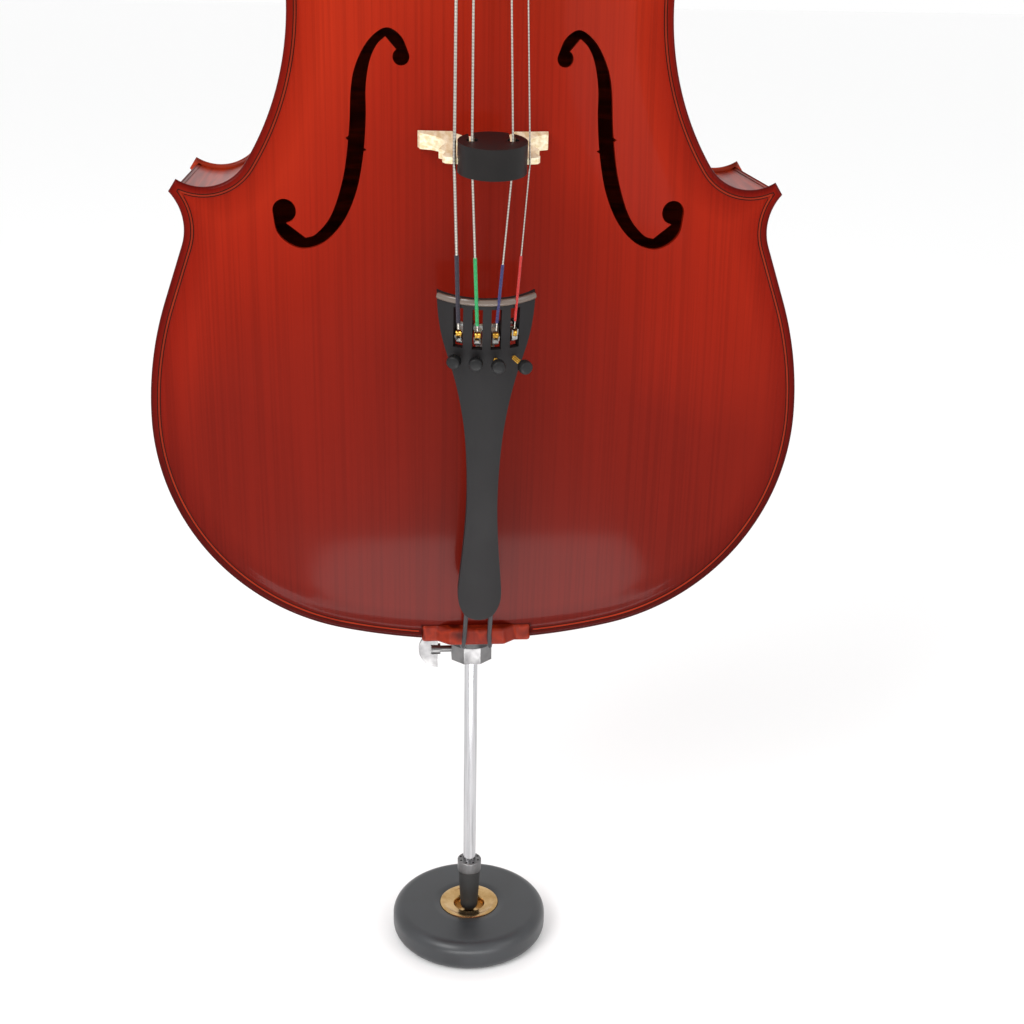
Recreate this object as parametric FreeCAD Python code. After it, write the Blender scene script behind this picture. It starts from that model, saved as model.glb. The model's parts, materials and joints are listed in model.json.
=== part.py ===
import FreeCAD, Part
import math
import os

# A full-size cello with its round mute on the bridge, standing by its endpin in a floor rest.
# Everything is drawn in millimetres from the bottom edge of the body: X across, the strings on the -Y side,
# Z up the body, y = 0 on the inner face of the front plate's edge. save() then moves each piece so that
# the origin is the middle of the floor rest's underside, on the endpin's axis.

V = FreeCAD.Vector
X_AXIS = V(1, 0, 0)
Y_AXIS = V(0, 1, 0)
Z_AXIS = V(0, 0, 1)
STRINGS = ["c", "g", "d", "a"]

# Body outline, bottom edge to top edge
BODY_LENGTH = 755.0
LOWER_HALF = 220.0
LOWER_Z = 167.0
WAIST_HALF = 121.5
WAIST_Z = 436.0
UPPER_HALF = 172.5
UPPER_Z = 648.0
BOTTOM_R = 430.0
TOP_R = 320.0
LOWER_SIDE_R = 240.0
UPPER_SIDE_R = 200.0
WAIST_LOW_R = 185.0
WAIST_HIGH_R = 300.0
LOWER_NECKING = (191.5, 295.0, 35.0)
UPPER_NECKING = (152.1, 529.0, 28.0)
LOWER_HOOK = (178.0, 321.0)
UPPER_HOOK = (146.5, 505.0)
LOWER_CORNER_Z = 318.0
UPPER_CORNER_Z = 510.0
LOWER_TIP_X = 195.0
UPPER_TIP_X = 155.0

# Plates, ribs and what is inside
PLATE_T = 4.5
RIB_DEPTH = 112.0
RIB_T = 2.0
OVERHANG = 3.5
ARCH = 24.0
ARCH_MARGIN = 10.0
GLUE = 0.15
LINING_T = 2.5
LINING_H = 14.0
PURFLING_IN = 4.6
PURFLING_W = 1.4
PURFLING_DEEP = 1.5

# Neck, fingerboard and pegbox
BOARD_SLOPE = 0.1725
BOARD_Y_AT_TOP = -36.0
BOARD_T = 12.0
BOARD_EDGE_T = 6.0
NUT_Z = 1035.0
NUT_LENGTH = 6.5
BOARD_END_Z = 460.5
BOARD_HALF_NUT = 15.5
BOARD_HALF_END = 31.0
PEG_R = 6.0
PEG_CLEARANCE = 0.05
PEGS = {"c": (1066.0, -1), "a": (1096.0, 1), "g": (1130.0, -1), "d": (1160.0, 1)}
PEG_STRING_X = {"c": -4.6, "g": -3.4, "d": 3.6, "a": 4.8}

# Strings and bridge
STRING_R = {"c": 0.95, "g": 0.75, "d": 0.58, "a": 0.45}
BRIDGE_X = {"c": -21.9, "g": -11.85, "d": 11.85, "a": 21.9}
NUT_X = {"c": -11.0, "g": -3.67, "d": 3.67, "a": 11.0}
BRIDGE_TOP_Y = -114.5
BRIDGE_BACK_Z = 349.5
BRIDGE_FOOT_T = 11.0
BRIDGE_TOP_T = 3.0
CROWN_R = 62.0
MUTE_R = 20.2
MUTE_Y = -113.0
MUTE_Z = (345.4, 363.4)
MUTE_TILT = 9.0

# Tailpiece: its own frame has z = 0 at the top end, y = 0 on the crown of the outer face
TAIL_TOP = V(0, -86.0, 264.5)
TAIL_TILT = 12.0
TAIL_R = 43.5
TAIL_T = 4.5
TAIL_LENGTH = 240.0
TAIL_HOLE_R = 3.2
TUNER_ANGLE = {"c": -24.0, "g": -7.8, "d": 7.8, "a": 24.0}
SCREW_OUT = {"c": 2.5, "g": 2.0, "d": 5.5, "a": 11.0}
SCREW_FULL_OUT = 12.0
SCREW_R = 1.5
SCREW_LENGTH = 19.4
SCREW_Z = -40.0
LEVER_PIVOT = (9.6, -22.0)
LEVER_ARM = 18.0
KNOB_R = 4.4
KNOB_H = 7.0

# Endpin and floor rest
PIN_Y = RIB_DEPTH / 2
ROD_R = 5.0
ROD_Z = (-233.0, 243.0)
FERRULE_Z = (-231.0, -221.0)
COLLAR_Z = (-41.0, -28.0)
COLLAR_R = 16.4
THUMB_Z = -34.5
TIP_BALL_R = 7.0
TIP_BALL_Z = -262.2
REST_R = 61.5
REST_H = 24.5
REST_ROUND = 9.0
CUP_DEEP = 10.0
CUP_PROUD = 0.5
CUP_FLOOR = -269.5
CUP_R = 23.5
CUP_HOLE_R = 11.5
FLOOR_Z = -286.0

SHIFT = V(0, -PIN_Y, -FLOOR_Z)


# ---------------------------------------------------------------- small helpers

def save(name, *solids):
    """Writes one node, moved so that the origin is under the floor rest."""
    shape = solids[0] if len(solids) == 1 else Part.makeCompound(list(solids))
    shape = shape.copy()
    shape.translate(SHIFT)
    shape.exportStep(os.path.join("parts", name + ".step"))


def box(x0, x1, y0, y1, z0, z1):
    return Part.makeBox(x1 - x0, y1 - y0, z1 - z0, V(x0, y0, z0))


def rod(radius, start, end):
    return Part.makeCylinder(radius, (end - start).Length, start, end - start)


def upright(radius, y, z0, z1, x=0.0):
    return rod(radius, V(x, y, z0), V(x, y, z1))


def prism(points, direction):
    """A flat polygon pushed along a direction."""
    return Part.Face(Part.makePolygon(points + points[:1])).extrude(direction)


def one(shape):
    """The single solid of a boolean result."""
    shape = shape.removeSplitter()
    return shape.Solids[0] if len(shape.Solids) == 1 else Part.makeCompound(shape.Solids)


def at(centre, radius, degrees):
    angle = math.radians(degrees)
    return V(centre[0] + radius * math.cos(angle), 0, centre[1] + radius * math.sin(angle))


def angle_of(dx, dz):
    return math.degrees(math.atan2(dz, dx))


def arc(centre, radius, start, end):
    """An arc in the XZ plane, angles in degrees from +X towards +Z."""
    middle = (start + end) / 2
    return Part.Arc(at(centre, radius, start), at(centre, radius, middle), at(centre, radius, end)).toShape()


def line(start, end):
    return Part.LineSegment(start, end).toShape()


def mirrored(shape):
    return shape.mirror(V(0, 0, 0), X_AXIS)


def bent_tube(points, bends, radius):
    """A round cord: straight runs between the points, with an arc of the given radius at each inner one."""
    edges = []
    last = points[0]
    for corner, after, bend in zip(points[1:-1], points[2:], bends):
        u = (corner - last).normalize()
        v = (after - corner).normalize()
        half = math.acos(max(-1.0, min(1.0, u.dot(v)))) / 2
        reach = bend * math.tan(half)
        inward = (v - u).normalize() * (bend / math.cos(half) - bend)
        edges.append(line(last, corner - u * reach))
        edges.append(Part.Arc(corner - u * reach, corner + inward, corner + v * reach).toShape())
        last = corner + v * reach
    edges.append(line(last, points[-1]))
    ring = Part.Wire(Part.makeCircle(radius, points[0], points[1] - points[0]))
    return Part.Solid(Part.Wire(edges).makePipeShell([ring], True, False))


# ---------------------------------------------------------------- body outline and arching

def end_radius(half, rise, end_r):
    """Radius of the bout's corner arc, tangent to the end arc and upright at the bout's widest place."""
    drop = end_r - rise
    return (end_r ** 2 - half ** 2 - drop ** 2) / (2 * (end_r - half))


def hook_radius(hook, waist_r):
    """Radius of the small arc at a C-bout's end, tangent to the waist arc."""
    across = WAIST_HALF + waist_r - hook[0]
    along = abs(WAIST_Z - hook[1])
    return (waist_r ** 2 - across ** 2 - along ** 2) / (2 * (waist_r - along))


def bout_edges(half, widest_z, end_r, end_z, side_r, necking, corner_z, up):
    """Half of one bout, from the end of the body to the corner's outer tip. up is 1 for the lower bout."""
    end_centre = (0.0, end_z + up * end_r)
    small = end_radius(half, abs(widest_z - end_z), end_r)
    small_centre = (half - small, widest_z)
    meet = angle_of(small_centre[0] - end_centre[0], small_centre[1] - end_centre[1])
    side_centre = (half - side_r, widest_z)
    neck_x, neck_z, neck_r = necking
    neck_centre = (neck_x + neck_r, neck_z)
    away = V(neck_centre[0] - side_centre[0], 0, neck_centre[1] - side_centre[1])
    lean = angle_of(away.x, away.z) - up * math.degrees(math.acos((side_r + neck_r) / away.Length))
    tip = 180 - math.degrees(math.asin((corner_z - neck_z) / neck_r))
    return [
        arc(end_centre, end_r, -90 * up, meet),
        arc(small_centre, small, meet, 0),
        arc(side_centre, side_r, 0, lean),
        line(at(side_centre, side_r, lean), at(neck_centre, neck_r, lean + 180)),
        arc(neck_centre, neck_r, lean + 180, tip),
    ], at(neck_centre, neck_r, tip)


def waist_edges(hook, tip_x, waist_r, up):
    """Half a C-bout, from the corner's inner tip to the narrowest place. up is 1 for the lower corner."""
    radius = hook_radius(hook, waist_r)
    centre = (hook[0], hook[1] + up * radius)
    waist_centre = (WAIST_HALF + waist_r, WAIST_Z)
    tip = -up * (90 - math.degrees(math.asin((tip_x - hook[0]) / radius)))
    meet = angle_of(centre[0] - waist_centre[0], centre[1] - waist_centre[1])
    edges = [
        arc(centre, radius, tip, meet),
        arc(waist_centre, waist_r, meet, -up * 180),
    ]
    return edges, at(centre, radius, tip)


def body_face():
    """The outline of both plates, as a flat face in the XZ plane."""
    lower, lower_outer = bout_edges(LOWER_HALF, LOWER_Z, BOTTOM_R, 0.0, LOWER_SIDE_R,
                                    LOWER_NECKING, LOWER_CORNER_Z, 1)
    upper, upper_outer = bout_edges(UPPER_HALF, UPPER_Z, TOP_R, BODY_LENGTH, UPPER_SIDE_R,
                                    UPPER_NECKING, UPPER_CORNER_Z, -1)
    waist_low, lower_inner = waist_edges(LOWER_HOOK, LOWER_TIP_X, WAIST_LOW_R, 1)
    waist_high, upper_inner = waist_edges(UPPER_HOOK, UPPER_TIP_X, WAIST_HIGH_R, -1)
    half = lower + waist_low + waist_high + upper
    half += [line(lower_outer, lower_inner), line(upper_inner, upper_outer)]
    whole = half + [mirrored(edge) for edge in half]
    return Part.Face(Part.Wire(Part.__sortEdges__(whole)))


def inner_half_width(z):
    """Half-width of the arched area: a smooth line inside the bouts that passes the corners by."""
    known = [(-20, 60), (10, 85), (25, 118), (50, 155), (90, 188), (130, 203), (167, 208), (205, 204),
             (250, 189), (300, 161), (350, 129), (395, 113), (436, 109), (475, 112), (520, 125),
             (570, 147), (610, 158), (648, 161), (685, 155), (715, 138), (740, 98), (775, 55)]
    for (z0, w0), (z1, w1) in zip(known, known[1:]):
        if z <= z1:
            t = (z - z0) / (z1 - z0)
            return w0 + (w1 - w0) * t * t * (3 - 2 * t) * 0.35 + (w1 - w0) * t * 0.65
    return known[-1][1]


def arch_height(x, z):
    """How far the arching stands above the flat edge."""
    along = (z - ARCH_MARGIN) / (BODY_LENGTH - 2 * ARCH_MARGIN)
    if along <= 0 or along >= 1:
        return 0.0
    length_rise = (1 - abs(2 * along - 1) ** 2.8) ** 1.3
    across = min(abs(x) / inner_half_width(z), 1.0)
    return ARCH * length_rise * (1 + math.cos(math.pi * across ** 1.5)) / 2


def arch_face(side, edge_y):
    """One arched skin, larger than the body. side is -1 for the front, 1 for the back."""
    columns = [-240 + 15 * i for i in range(33)]
    rows = [-15 + 785.0 * j / 44 for j in range(45)]
    grid = [[V(x, edge_y + side * arch_height(x, z), z) for z in rows] for x in columns]
    skin = Part.BSplineSurface()
    skin.interpolate(grid)
    return skin.toShape()


BODY = body_face()
FRONT_SKIN = arch_face(-1, -PLATE_T - GLUE)
BACK_SKIN = arch_face(1, RIB_DEPTH + PLATE_T + GLUE)


def inset(distance):
    return BODY.makeOffset2D(-distance)


def ring_between(outer, inner, y0, y1):
    """A band that follows the body's outline, between two distances from its edge."""
    band = inset(outer).cut(inset(inner))
    band.translate(V(0, y0, 0))
    return band.extrude(V(0, y1 - y0, 0))


def outline_block(y0, y1):
    face = BODY.copy()
    face.translate(V(0, y0, 0))
    return face.extrude(V(0, y1 - y0, 0))


def below_front(depth):
    """Everything behind the front's outer skin, moved in by a depth."""
    skin = FRONT_SKIN.copy()
    skin.translate(V(0, depth, 0))
    return skin.extrude(V(0, 200, 0))


def before_back(depth):
    """Everything in front of the back's outer skin, moved in by a depth."""
    skin = BACK_SKIN.copy()
    skin.translate(V(0, -depth, 0))
    return skin.extrude(V(0, -200, 0))


# ---------------------------------------------------------------- f-holes

F_UPPER_EYE = (51.0, 403.5, 5.2)
F_LOWER_EYE = (126.5, 306.8, 7.6)
F_OUTER = [(46.3, 406.0), (51.0, 415.8), (60.0, 420.6), (70.5, 413.5), (78.4, 400.0), (82.2, 385.0),
           (84.0, 358.0), (88.0, 330.0), (96.0, 306.0), (106.0, 293.5), (113.0, 290.6)]
F_INNER = [(134.0, 305.5), (131.5, 293.5), (123.5, 286.0), (113.0, 283.7), (100.0, 289.0), (88.0, 302.5),
           (79.5, 322.0), (75.0, 345.0), (73.2, 367.0), (73.0, 385.0), (70.5, 400.0), (66.0, 410.0),
           (60.5, 415.3)]


def spline_through(points):
    curve = Part.BSplineCurve()
    curve.interpolate([V(x, 0, z) for x, z in points])
    return curve.toShape()


def f_hole():
    """The cutter for the right-hand f-hole: its band and its two eyes."""
    outer = spline_through(F_OUTER)
    inner = spline_through(F_INNER)
    corner_low = V(126.5, 0, 306.8)
    corner_high = V(51.0, 0, 403.5)
    edges = [outer, line(V(113.0, 0, 290.6), V(125.3, 0, 299.2)), line(V(125.3, 0, 299.2), corner_low),
             line(corner_low, V(134.0, 0, 305.5)), inner,
             line(V(60.5, 0, 415.3), V(54.0, 0, 408.0)), line(V(54.0, 0, 408.0), corner_high),
             line(corner_high, V(46.3, 0, 406.0))]
    band = Part.Face(Part.Wire(Part.__sortEdges__(edges)))
    band.translate(V(0, -60, 0))
    cutter = band.extrude(V(0, 70, 0))
    for x, z, radius in (F_UPPER_EYE, F_LOWER_EYE):
        cutter = cutter.fuse(rod(radius, V(x, -60, z), V(x, 10, z)))
    return cutter


# ---------------------------------------------------------------- neck, fingerboard, pegbox

def board_top(z):
    return BOARD_Y_AT_TOP + BOARD_SLOPE * (z - BODY_LENGTH)


def board_under(z):
    return board_top(z) + BOARD_T


def neck_section(z, half_width, depth):
    """A D-shaped section of the neck, flat under the fingerboard."""
    flat = board_under(z) + GLUE / 3
    angles = [math.pi * i / 8 for i in range(9)]
    curve = Part.BSplineCurve()
    curve.interpolate([V(half_width * math.cos(a), flat + depth * math.sin(a), z) for a in angles])
    chord = line(V(-half_width, flat, z), V(half_width, flat, z))
    return Part.Wire([curve.toShape(), chord])


def pegbox_front(z):
    return 20.0 + (z - NUT_Z) * 0.377


def pegbox_back(z):
    return 60.0 + (z - 1060.0) * 0.385


def peg_centre(name):
    z = PEGS[name][0]
    return V(0, (pegbox_front(z) + pegbox_back(z)) / 2 - 1.5, z)


def scroll():
    """The scroll as a stepped pair of volutes that narrow in radius towards the eyes."""
    centre = V(0, 96.0, 1214.0)
    steps = [(34.0, 13.0), (25.0, 20.0), (16.5, 26.0), (8.5, 31.0)]
    solid = None
    for radius, half_width in steps:
        disc = rod(radius, centre - X_AXIS * half_width, centre + X_AXIS * half_width)
        solid = disc if solid is None else solid.fuse(disc)
    return solid


def pegbox():
    sill = NUT_Z + NUT_LENGTH + 0.1
    seat = board_under(NUT_Z) + GLUE / 3
    side = [V(-22, board_under(1032) + GLUE / 3, 1032), V(-22, seat, NUT_Z), V(-22, seat, sill),
            V(-22, pegbox_front(sill), sill), V(-22, pegbox_front(1196), 1196), V(-22, 122, 1204),
            V(-22, pegbox_back(1180), 1180), V(-22, 60, 1060), V(-22, 42.4, 1032)]
    block = prism(side, V(44, 0, 0))
    taper = prism([V(-21, 0, 1030), V(21, 0, 1030), V(13.5, 0, 1206), V(-13.5, 0, 1206)], V(0, 140, 0))
    cavity = prism([V(-11.3, 0, 1044), V(11.3, 0, 1044), V(8.6, 0, 1182), V(-8.6, 0, 1182)], V(0, 140, 0))
    floor_line = [V(-20, -10, 1040), V(-20, -10, 1190), V(-20, pegbox_back(1182) - 8, 1182),
                  V(-20, 54, 1060), V(-20, 44, 1044)]
    cavity = cavity.common(prism(floor_line, V(40, 0, 0)))
    return block.common(taper).fuse(scroll()).cut(cavity)


def neck():
    sections = [neck_section(NUT_Z, 15.5, 18.0), neck_section(960, 17.5, 19.0), neck_section(870, 19.8, 20.5),
                neck_section(822, 21.2, 22.0)]
    shaft = Part.makeLoft(sections, True)
    root_depth = RIB_DEPTH - GLUE - board_under(757)
    sweep = [neck_section(822, 21.2, 22.0), neck_section(797, 21.6, 34.0), neck_section(779, 21.8, 66.0),
             neck_section(765, 22.0, 105.0), neck_section(757, 22.0, root_depth)]
    heel = Part.makeLoft(sweep, True)
    front = board_under(757) + GLUE / 3
    root = prism([V(-22, front, 757), V(22, front, 757), V(15, RIB_DEPTH, 757), V(-15, RIB_DEPTH, 757)],
                 V(0, 0, -13))
    solid = shaft.fuse([heel, root, pegbox()])
    for name in STRINGS:
        centre = peg_centre(name)
        hole = rod(PEG_R + PEG_CLEARANCE, centre - X_AXIS * 30, centre + X_AXIS * 30)
        solid = solid.cut(hole)
    return one(solid.cut(box(-40, 40, RIB_DEPTH - GLUE, RIB_DEPTH + 20, 700, 800)))


def board_section(z, half_width):
    top = board_top(z)
    under = board_under(z)
    left = V(-half_width, under - BOARD_EDGE_T, z)
    right = V(half_width, under - BOARD_EDGE_T, z)
    crown = Part.Arc(left, V(0, top, z), right).toShape()
    edges = [crown, line(right, V(half_width, under, z)), line(V(half_width, under, z), V(-half_width, under, z)),
             line(V(-half_width, under, z), left)]
    return Part.Wire(edges)


def fingerboard():
    return Part.makeLoft([board_section(NUT_Z, BOARD_HALF_NUT), board_section(BOARD_END_Z, BOARD_HALF_END)],
                         True, True)


def nut_top(x):
    return board_top(NUT_Z) - 1.6 + x * x / (2 * CROWN_R)


def nut():
    points = [V(x, nut_top(x), NUT_Z + 0.05) for x in (-15.5, 0, 15.5)]
    foot = board_under(NUT_Z)
    crown = Part.Arc(points[0], points[1], points[2]).toShape()
    low_right = V(15.5, foot, NUT_Z + 0.05)
    low_left = V(-15.5, foot, NUT_Z + 0.05)
    edges = [crown, line(points[2], low_right), line(low_right, low_left), line(low_left, points[0])]
    return Part.Face(Part.Wire(edges)).extrude(V(0, 0, NUT_LENGTH))


# ---------------------------------------------------------------- bridge, mute and strings

def crown_y(x):
    return BRIDGE_TOP_Y + CROWN_R - math.sqrt(CROWN_R ** 2 - x * x)


BRIDGE_SIDE = [(27.0, crown_y(27.0)), (28.5, -103.0), (26.5, -92.0), (30.0, -84.0), (27.5, -74.0), (24.5, -64.0),
               (27.5, -52.0), (33.0, -42.0), (40.0, -36.5), (41.2, -26.0), (41.2, -10.0)]
BRIDGE_ARCH = [(19.5, -10.0), (19.0, -32.0), (13.5, -43.0), (0.0, -49.0)]


def bridge_blank():
    """The bridge's front view: crown, waisted sides, two legs."""
    crown = Part.Arc(V(-27, crown_y(27), 0), V(0, BRIDGE_TOP_Y, 0), V(27, crown_y(27), 0)).toShape()
    right = [V(x, y, 0) for x, y in BRIDGE_SIDE + BRIDGE_ARCH]
    left = [V(-p.x, p.y, 0) for p in right]
    path = right + left[::-1][1:]
    edges = [crown] + [line(a, b) for a, b in zip(path, path[1:])]
    return Part.Face(Part.Wire(Part.__sortEdges__(edges)))


def bridge():
    blank = bridge_blank()
    blank.translate(V(0, 0, BRIDGE_BACK_Z))
    solid = blank.extrude(V(0, 0, BRIDGE_FOOT_T))
    foot_y = -ARCH - PLATE_T
    front = BRIDGE_BACK_Z
    slope = prism([V(-60, BRIDGE_TOP_Y - 5, front + BRIDGE_TOP_T), V(-60, foot_y + 8, front + BRIDGE_FOOT_T),
                   V(-60, foot_y + 8, front + 40), V(-60, BRIDGE_TOP_Y - 5, front + 40)], V(120, 0, 0))
    solid = solid.cut(slope).cut(below_front(0))
    for x in (-16.0, 16.0):
        solid = solid.cut(rod(5.0, V(x, -72, 340), V(x, -72, 370)))
    heart = rod(5.5, V(0, -76, 340), V(0, -76, 370))
    return one(solid.cut(heart))


def mute():
    """A rubber disc astride the bridge's top, leaning, with a hole and a slit for each middle string."""
    low, high = MUTE_Z
    solid = upright(MUTE_R, MUTE_Y, low, high)
    solid.rotate(V(0, MUTE_Y, (low + high) / 2), X_AXIS, MUTE_TILT)
    solid = solid.cut(box(-30, 30, BRIDGE_TOP_Y - 1.2, -80, BRIDGE_BACK_Z - 0.4, BRIDGE_BACK_Z + 5.3))
    for name in ("g", "d"):
        x = BRIDGE_X[name] * 0.995
        solid = solid.cut(upright(3.5, MUTE_Y, low - 6, high + 6, x))
        solid = solid.cut(box(x - 1.5, x + 1.5, MUTE_Y, -80, low - 6, high + 6))
    return one(solid)


def tail_point(x, y, z):
    """A point of the tailpiece's own frame, in the body's frame."""
    tilt = math.radians(TAIL_TILT)
    return TAIL_TOP + V(x, y * math.cos(tilt) - z * math.sin(tilt), y * math.sin(tilt) + z * math.cos(tilt))


def tail_place(solid):
    """Moves a solid drawn in the tailpiece's frame into the body's frame."""
    solid = solid.copy()
    solid.rotate(V(0, 0, 0), X_AXIS, TAIL_TILT)
    solid.translate(TAIL_TOP)
    return solid


def fan_point(name, y, z):
    """A point in a tuner's own radial plane, in the body's frame."""
    angle = math.radians(TUNER_ANGLE[name])
    reach = TAIL_R - y
    return tail_point(reach * math.sin(angle), TAIL_R - reach * math.cos(angle), z)


def fan_place(name, solid):
    """Turns a tuner's piece into its radial plane and places it with the tailpiece."""
    solid = solid.copy()
    solid.rotate(V(0, TAIL_R, 0), Z_AXIS, TUNER_ANGLE[name])
    return tail_place(solid)


def string_points(name):
    """The string's route: lever fork, bridge, nut, and the front of its peg."""
    radius = STRING_R[name]
    hold = fan_point(name, 0.8, -20.4)
    over_bridge = V(BRIDGE_X[name], crown_y(BRIDGE_X[name]) - radius - 0.28, BRIDGE_BACK_Z + 1.5)
    over_nut = V(NUT_X[name], nut_top(NUT_X[name]) - radius - 0.45, NUT_Z + 6.2)
    centre = peg_centre(name)
    clear = PEG_R + radius + 0.3
    gap = math.hypot(centre.y - over_nut.y, centre.z - over_nut.z)
    heading = math.atan2(centre.z - over_nut.z, centre.y - over_nut.y) + math.asin(clear / gap)
    run = math.sqrt(gap ** 2 - clear ** 2)
    on_peg = V(PEG_STRING_X[name], over_nut.y + run * math.cos(heading), over_nut.z + run * math.sin(heading))
    return [hold, over_bridge, over_nut, on_peg]


def string(name):
    return bent_tube(string_points(name), [6.0, 5.0], STRING_R[name])


# ---------------------------------------------------------------- pegs

def peg(name):
    """A peg: its shank runs through both cheeks, with a collar, a stem and an oval head outside."""
    side = PEGS[name][1]
    centre = peg_centre(name)
    shank = rod(PEG_R, centre - X_AXIS * side * 21.5, centre + X_AXIS * side * 23)
    collar = rod(8.5, centre + X_AXIS * side * 22.3, centre + X_AXIS * side * 26)
    stem = rod(4.5, centre + X_AXIS * side * 26, centre + X_AXIS * side * 36)
    oval = Part.Ellipse(V(0, 0, 0), 15.5, 13.0).toShape()
    head = Part.Face(Part.Wire(oval)).extrude(V(0, 0, 9))
    head = head.makeFillet(3.0, [edge for edge in head.Edges if edge.BoundBox.ZLength < 0.01])
    head.rotate(V(0, 0, 0), X_AXIS, 90)
    head.translate(centre + V(side * 46, 4.5, 0))
    return one(shank.fuse([collar, stem, head]))


def winding(name):
    """The turns of string on the peg, beside the place where the string comes in."""
    radius = STRING_R[name]
    side = -1 if PEG_STRING_X[name] < 0 else 1
    centre = peg_centre(name)
    near = abs(PEG_STRING_X[name]) - 2 * radius - 0.2
    far = max(near - 4.0 * radius - 1.2, -6.5)
    start = centre + X_AXIS * side * far
    end = centre + X_AXIS * side * near
    return rod(PEG_R + 2 * radius, start, end).cut(rod(PEG_R, start - X_AXIS * side, end + X_AXIS * side))


# ---------------------------------------------------------------- tailpiece and fine tuners

TAIL_HALF = [(0.0, 30.5), (-12.0, 30.0), (-30.0, 27.0), (-46.0, 22.0), (-70.0, 16.0), (-96.0, 12.2),
             (-125.0, 10.4), (-150.0, 10.2), (-180.0, 11.8), (-210.0, 14.3), (-228.0, 14.0), (-237.0, 9.5)]


def tailpiece_plan():
    right = Part.BSplineCurve()
    right.interpolate([V(x, -20, z) for z, x in TAIL_HALF])
    left = Part.BSplineCurve()
    left.interpolate([V(-x, -20, z) for z, x in TAIL_HALF])
    end = Part.Arc(V(9.5, -20, -237), V(0, -20, -TAIL_LENGTH), V(-9.5, -20, -237)).toShape()
    edges = [line(V(-30.5, -20, 0), V(30.5, -20, 0)), right.toShape(), end, left.toShape()]
    return Part.Face(Part.Wire(Part.__sortEdges__(edges)))


def tailpiece():
    """An arched shell with a solid tail, slots for the levers and a threaded boss for each screw."""
    plan = tailpiece_plan().extrude(V(0, 60, 0))
    outer = rod(TAIL_R, V(0, TAIL_R, -260), V(0, TAIL_R, 10))
    inner = rod(TAIL_R - TAIL_T, V(0, TAIL_R, -270), V(0, TAIL_R, 20))
    shell = plan.common(outer).cut(inner).common(box(-60, 60, -10, 30, -300, 10))
    spine = plan.common(box(-60, 60, 2.0, 9.0, -238, -95)).common(outer)
    solid = shell.fuse(spine)
    for name in STRINGS:
        boss = rod(3.8, V(0, 2, SCREW_Z), V(0, 7.2, SCREW_Z))
        ears = box(-5.0, 5.0, 2.0, 12.0, -25.5, -18.5).cut(box(-3.2, 3.2, -10, 20, -40, 0))
        solid = solid.fuse(fan_place_local(name, boss)).fuse(fan_place_local(name, ears))
    for name in STRINGS:
        slot = box(-3.2, 3.2, -10, 20, -33, -6)
        hole = rod(SCREW_R + 0.06, V(0, -10, SCREW_Z), V(0, 20, SCREW_Z))
        y, z = LEVER_PIVOT
        pin_hole = rod(1.0, V(-5.5, y, z), V(5.5, y, z))
        for cutter in (slot, hole, pin_hole):
            solid = solid.cut(fan_place_local(name, cutter))
    for side in (-1, 1):
        solid = solid.cut(rod(TAIL_HOLE_R, V(side * 8.5, 5.2, -260), V(side * 8.5, 5.2, -214)))
    return one(tail_place(one(solid)))


def fan_place_local(name, solid):
    solid = solid.copy()
    solid.rotate(V(0, TAIL_R, 0), Z_AXIS, TUNER_ANGLE[name])
    return solid


def lever_turn(name):
    """How far the lever is turned at rest, in degrees, for how far its screw is driven in."""
    return math.degrees((SCREW_FULL_OUT - SCREW_OUT[name]) / LEVER_ARM)


def tuner_lever(name):
    """A bent lever: a fork that holds the string's ball end, a hub, and a long arm under the screw."""
    y, z = LEVER_PIVOT
    fork = box(-2.2, 2.2, -0.6, y, -24.0, -20.0).cut(box(-1.35, 1.35, -2, 4.2, -30, -10))
    arm = box(-2.2, 2.2, y - 1.0, y + 1.2, z - LEVER_ARM - 4, z)
    hub = rod(2.6, V(-2.8, y, z), V(2.8, y, z))
    ball = rod(2.3, V(-1.9, 1.6, -26.0), V(1.9, 1.6, -26.0))
    web = box(-2.2, 2.2, 4.0, y, -27.5, -23.0)
    solid = fork.fuse([arm, hub, web, ball]).cut(rod(1.06, V(-4, y, z), V(4, y, z)))
    solid.rotate(V(0, y, z), X_AXIS, lever_turn(name))
    return fan_place(name, one(solid))


def tuner_screw(name):
    start = -SCREW_OUT[name]
    return fan_place(name, rod(SCREW_R, V(0, start, SCREW_Z), V(0, start + SCREW_LENGTH, SCREW_Z)))


def tuner_knob(name):
    start = -SCREW_OUT[name]
    head = rod(KNOB_R, V(0, start - KNOB_H, SCREW_Z), V(0, start, SCREW_Z))
    rims = [edge for edge in head.Edges if edge.BoundBox.YLength < 0.01]
    return fan_place(name, head.makeFillet(1.0, rims))


def tuner_pins():
    y, z = LEVER_PIVOT
    return [fan_place(name, rod(1.0, V(-4.9, y, z), V(4.9, y, z))) for name in STRINGS]


# ---------------------------------------------------------------- saddle, tailgut, endpin and floor rest

def saddle():
    side = [V(-39, -PLATE_T, -1.0), V(-39, -PLATE_T, 12), V(39, -PLATE_T, 12), V(39, -PLATE_T, -1.0)]
    base = prism(side, V(0, PLATE_T, 0))
    ridge = prism([V(-28, -PLATE_T, 12), V(28, -PLATE_T, 12), V(20, -11.5, 12), V(-20, -11.5, 12)], V(0, 0, -13))
    return one(base.fuse(ridge))


def tailgut_points():
    """Half of the loop, from inside the tailpiece to where it meets the plug's groove."""
    hole = tail_point(8.5, 5.2, -216.0)
    mouth = tail_point(8.5, 5.2, -232.0)
    over = V(8.8, -13.2, 8.0)
    below = V(9.6, -9.0, -3.6)
    return [hole, mouth, over, below]


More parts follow.
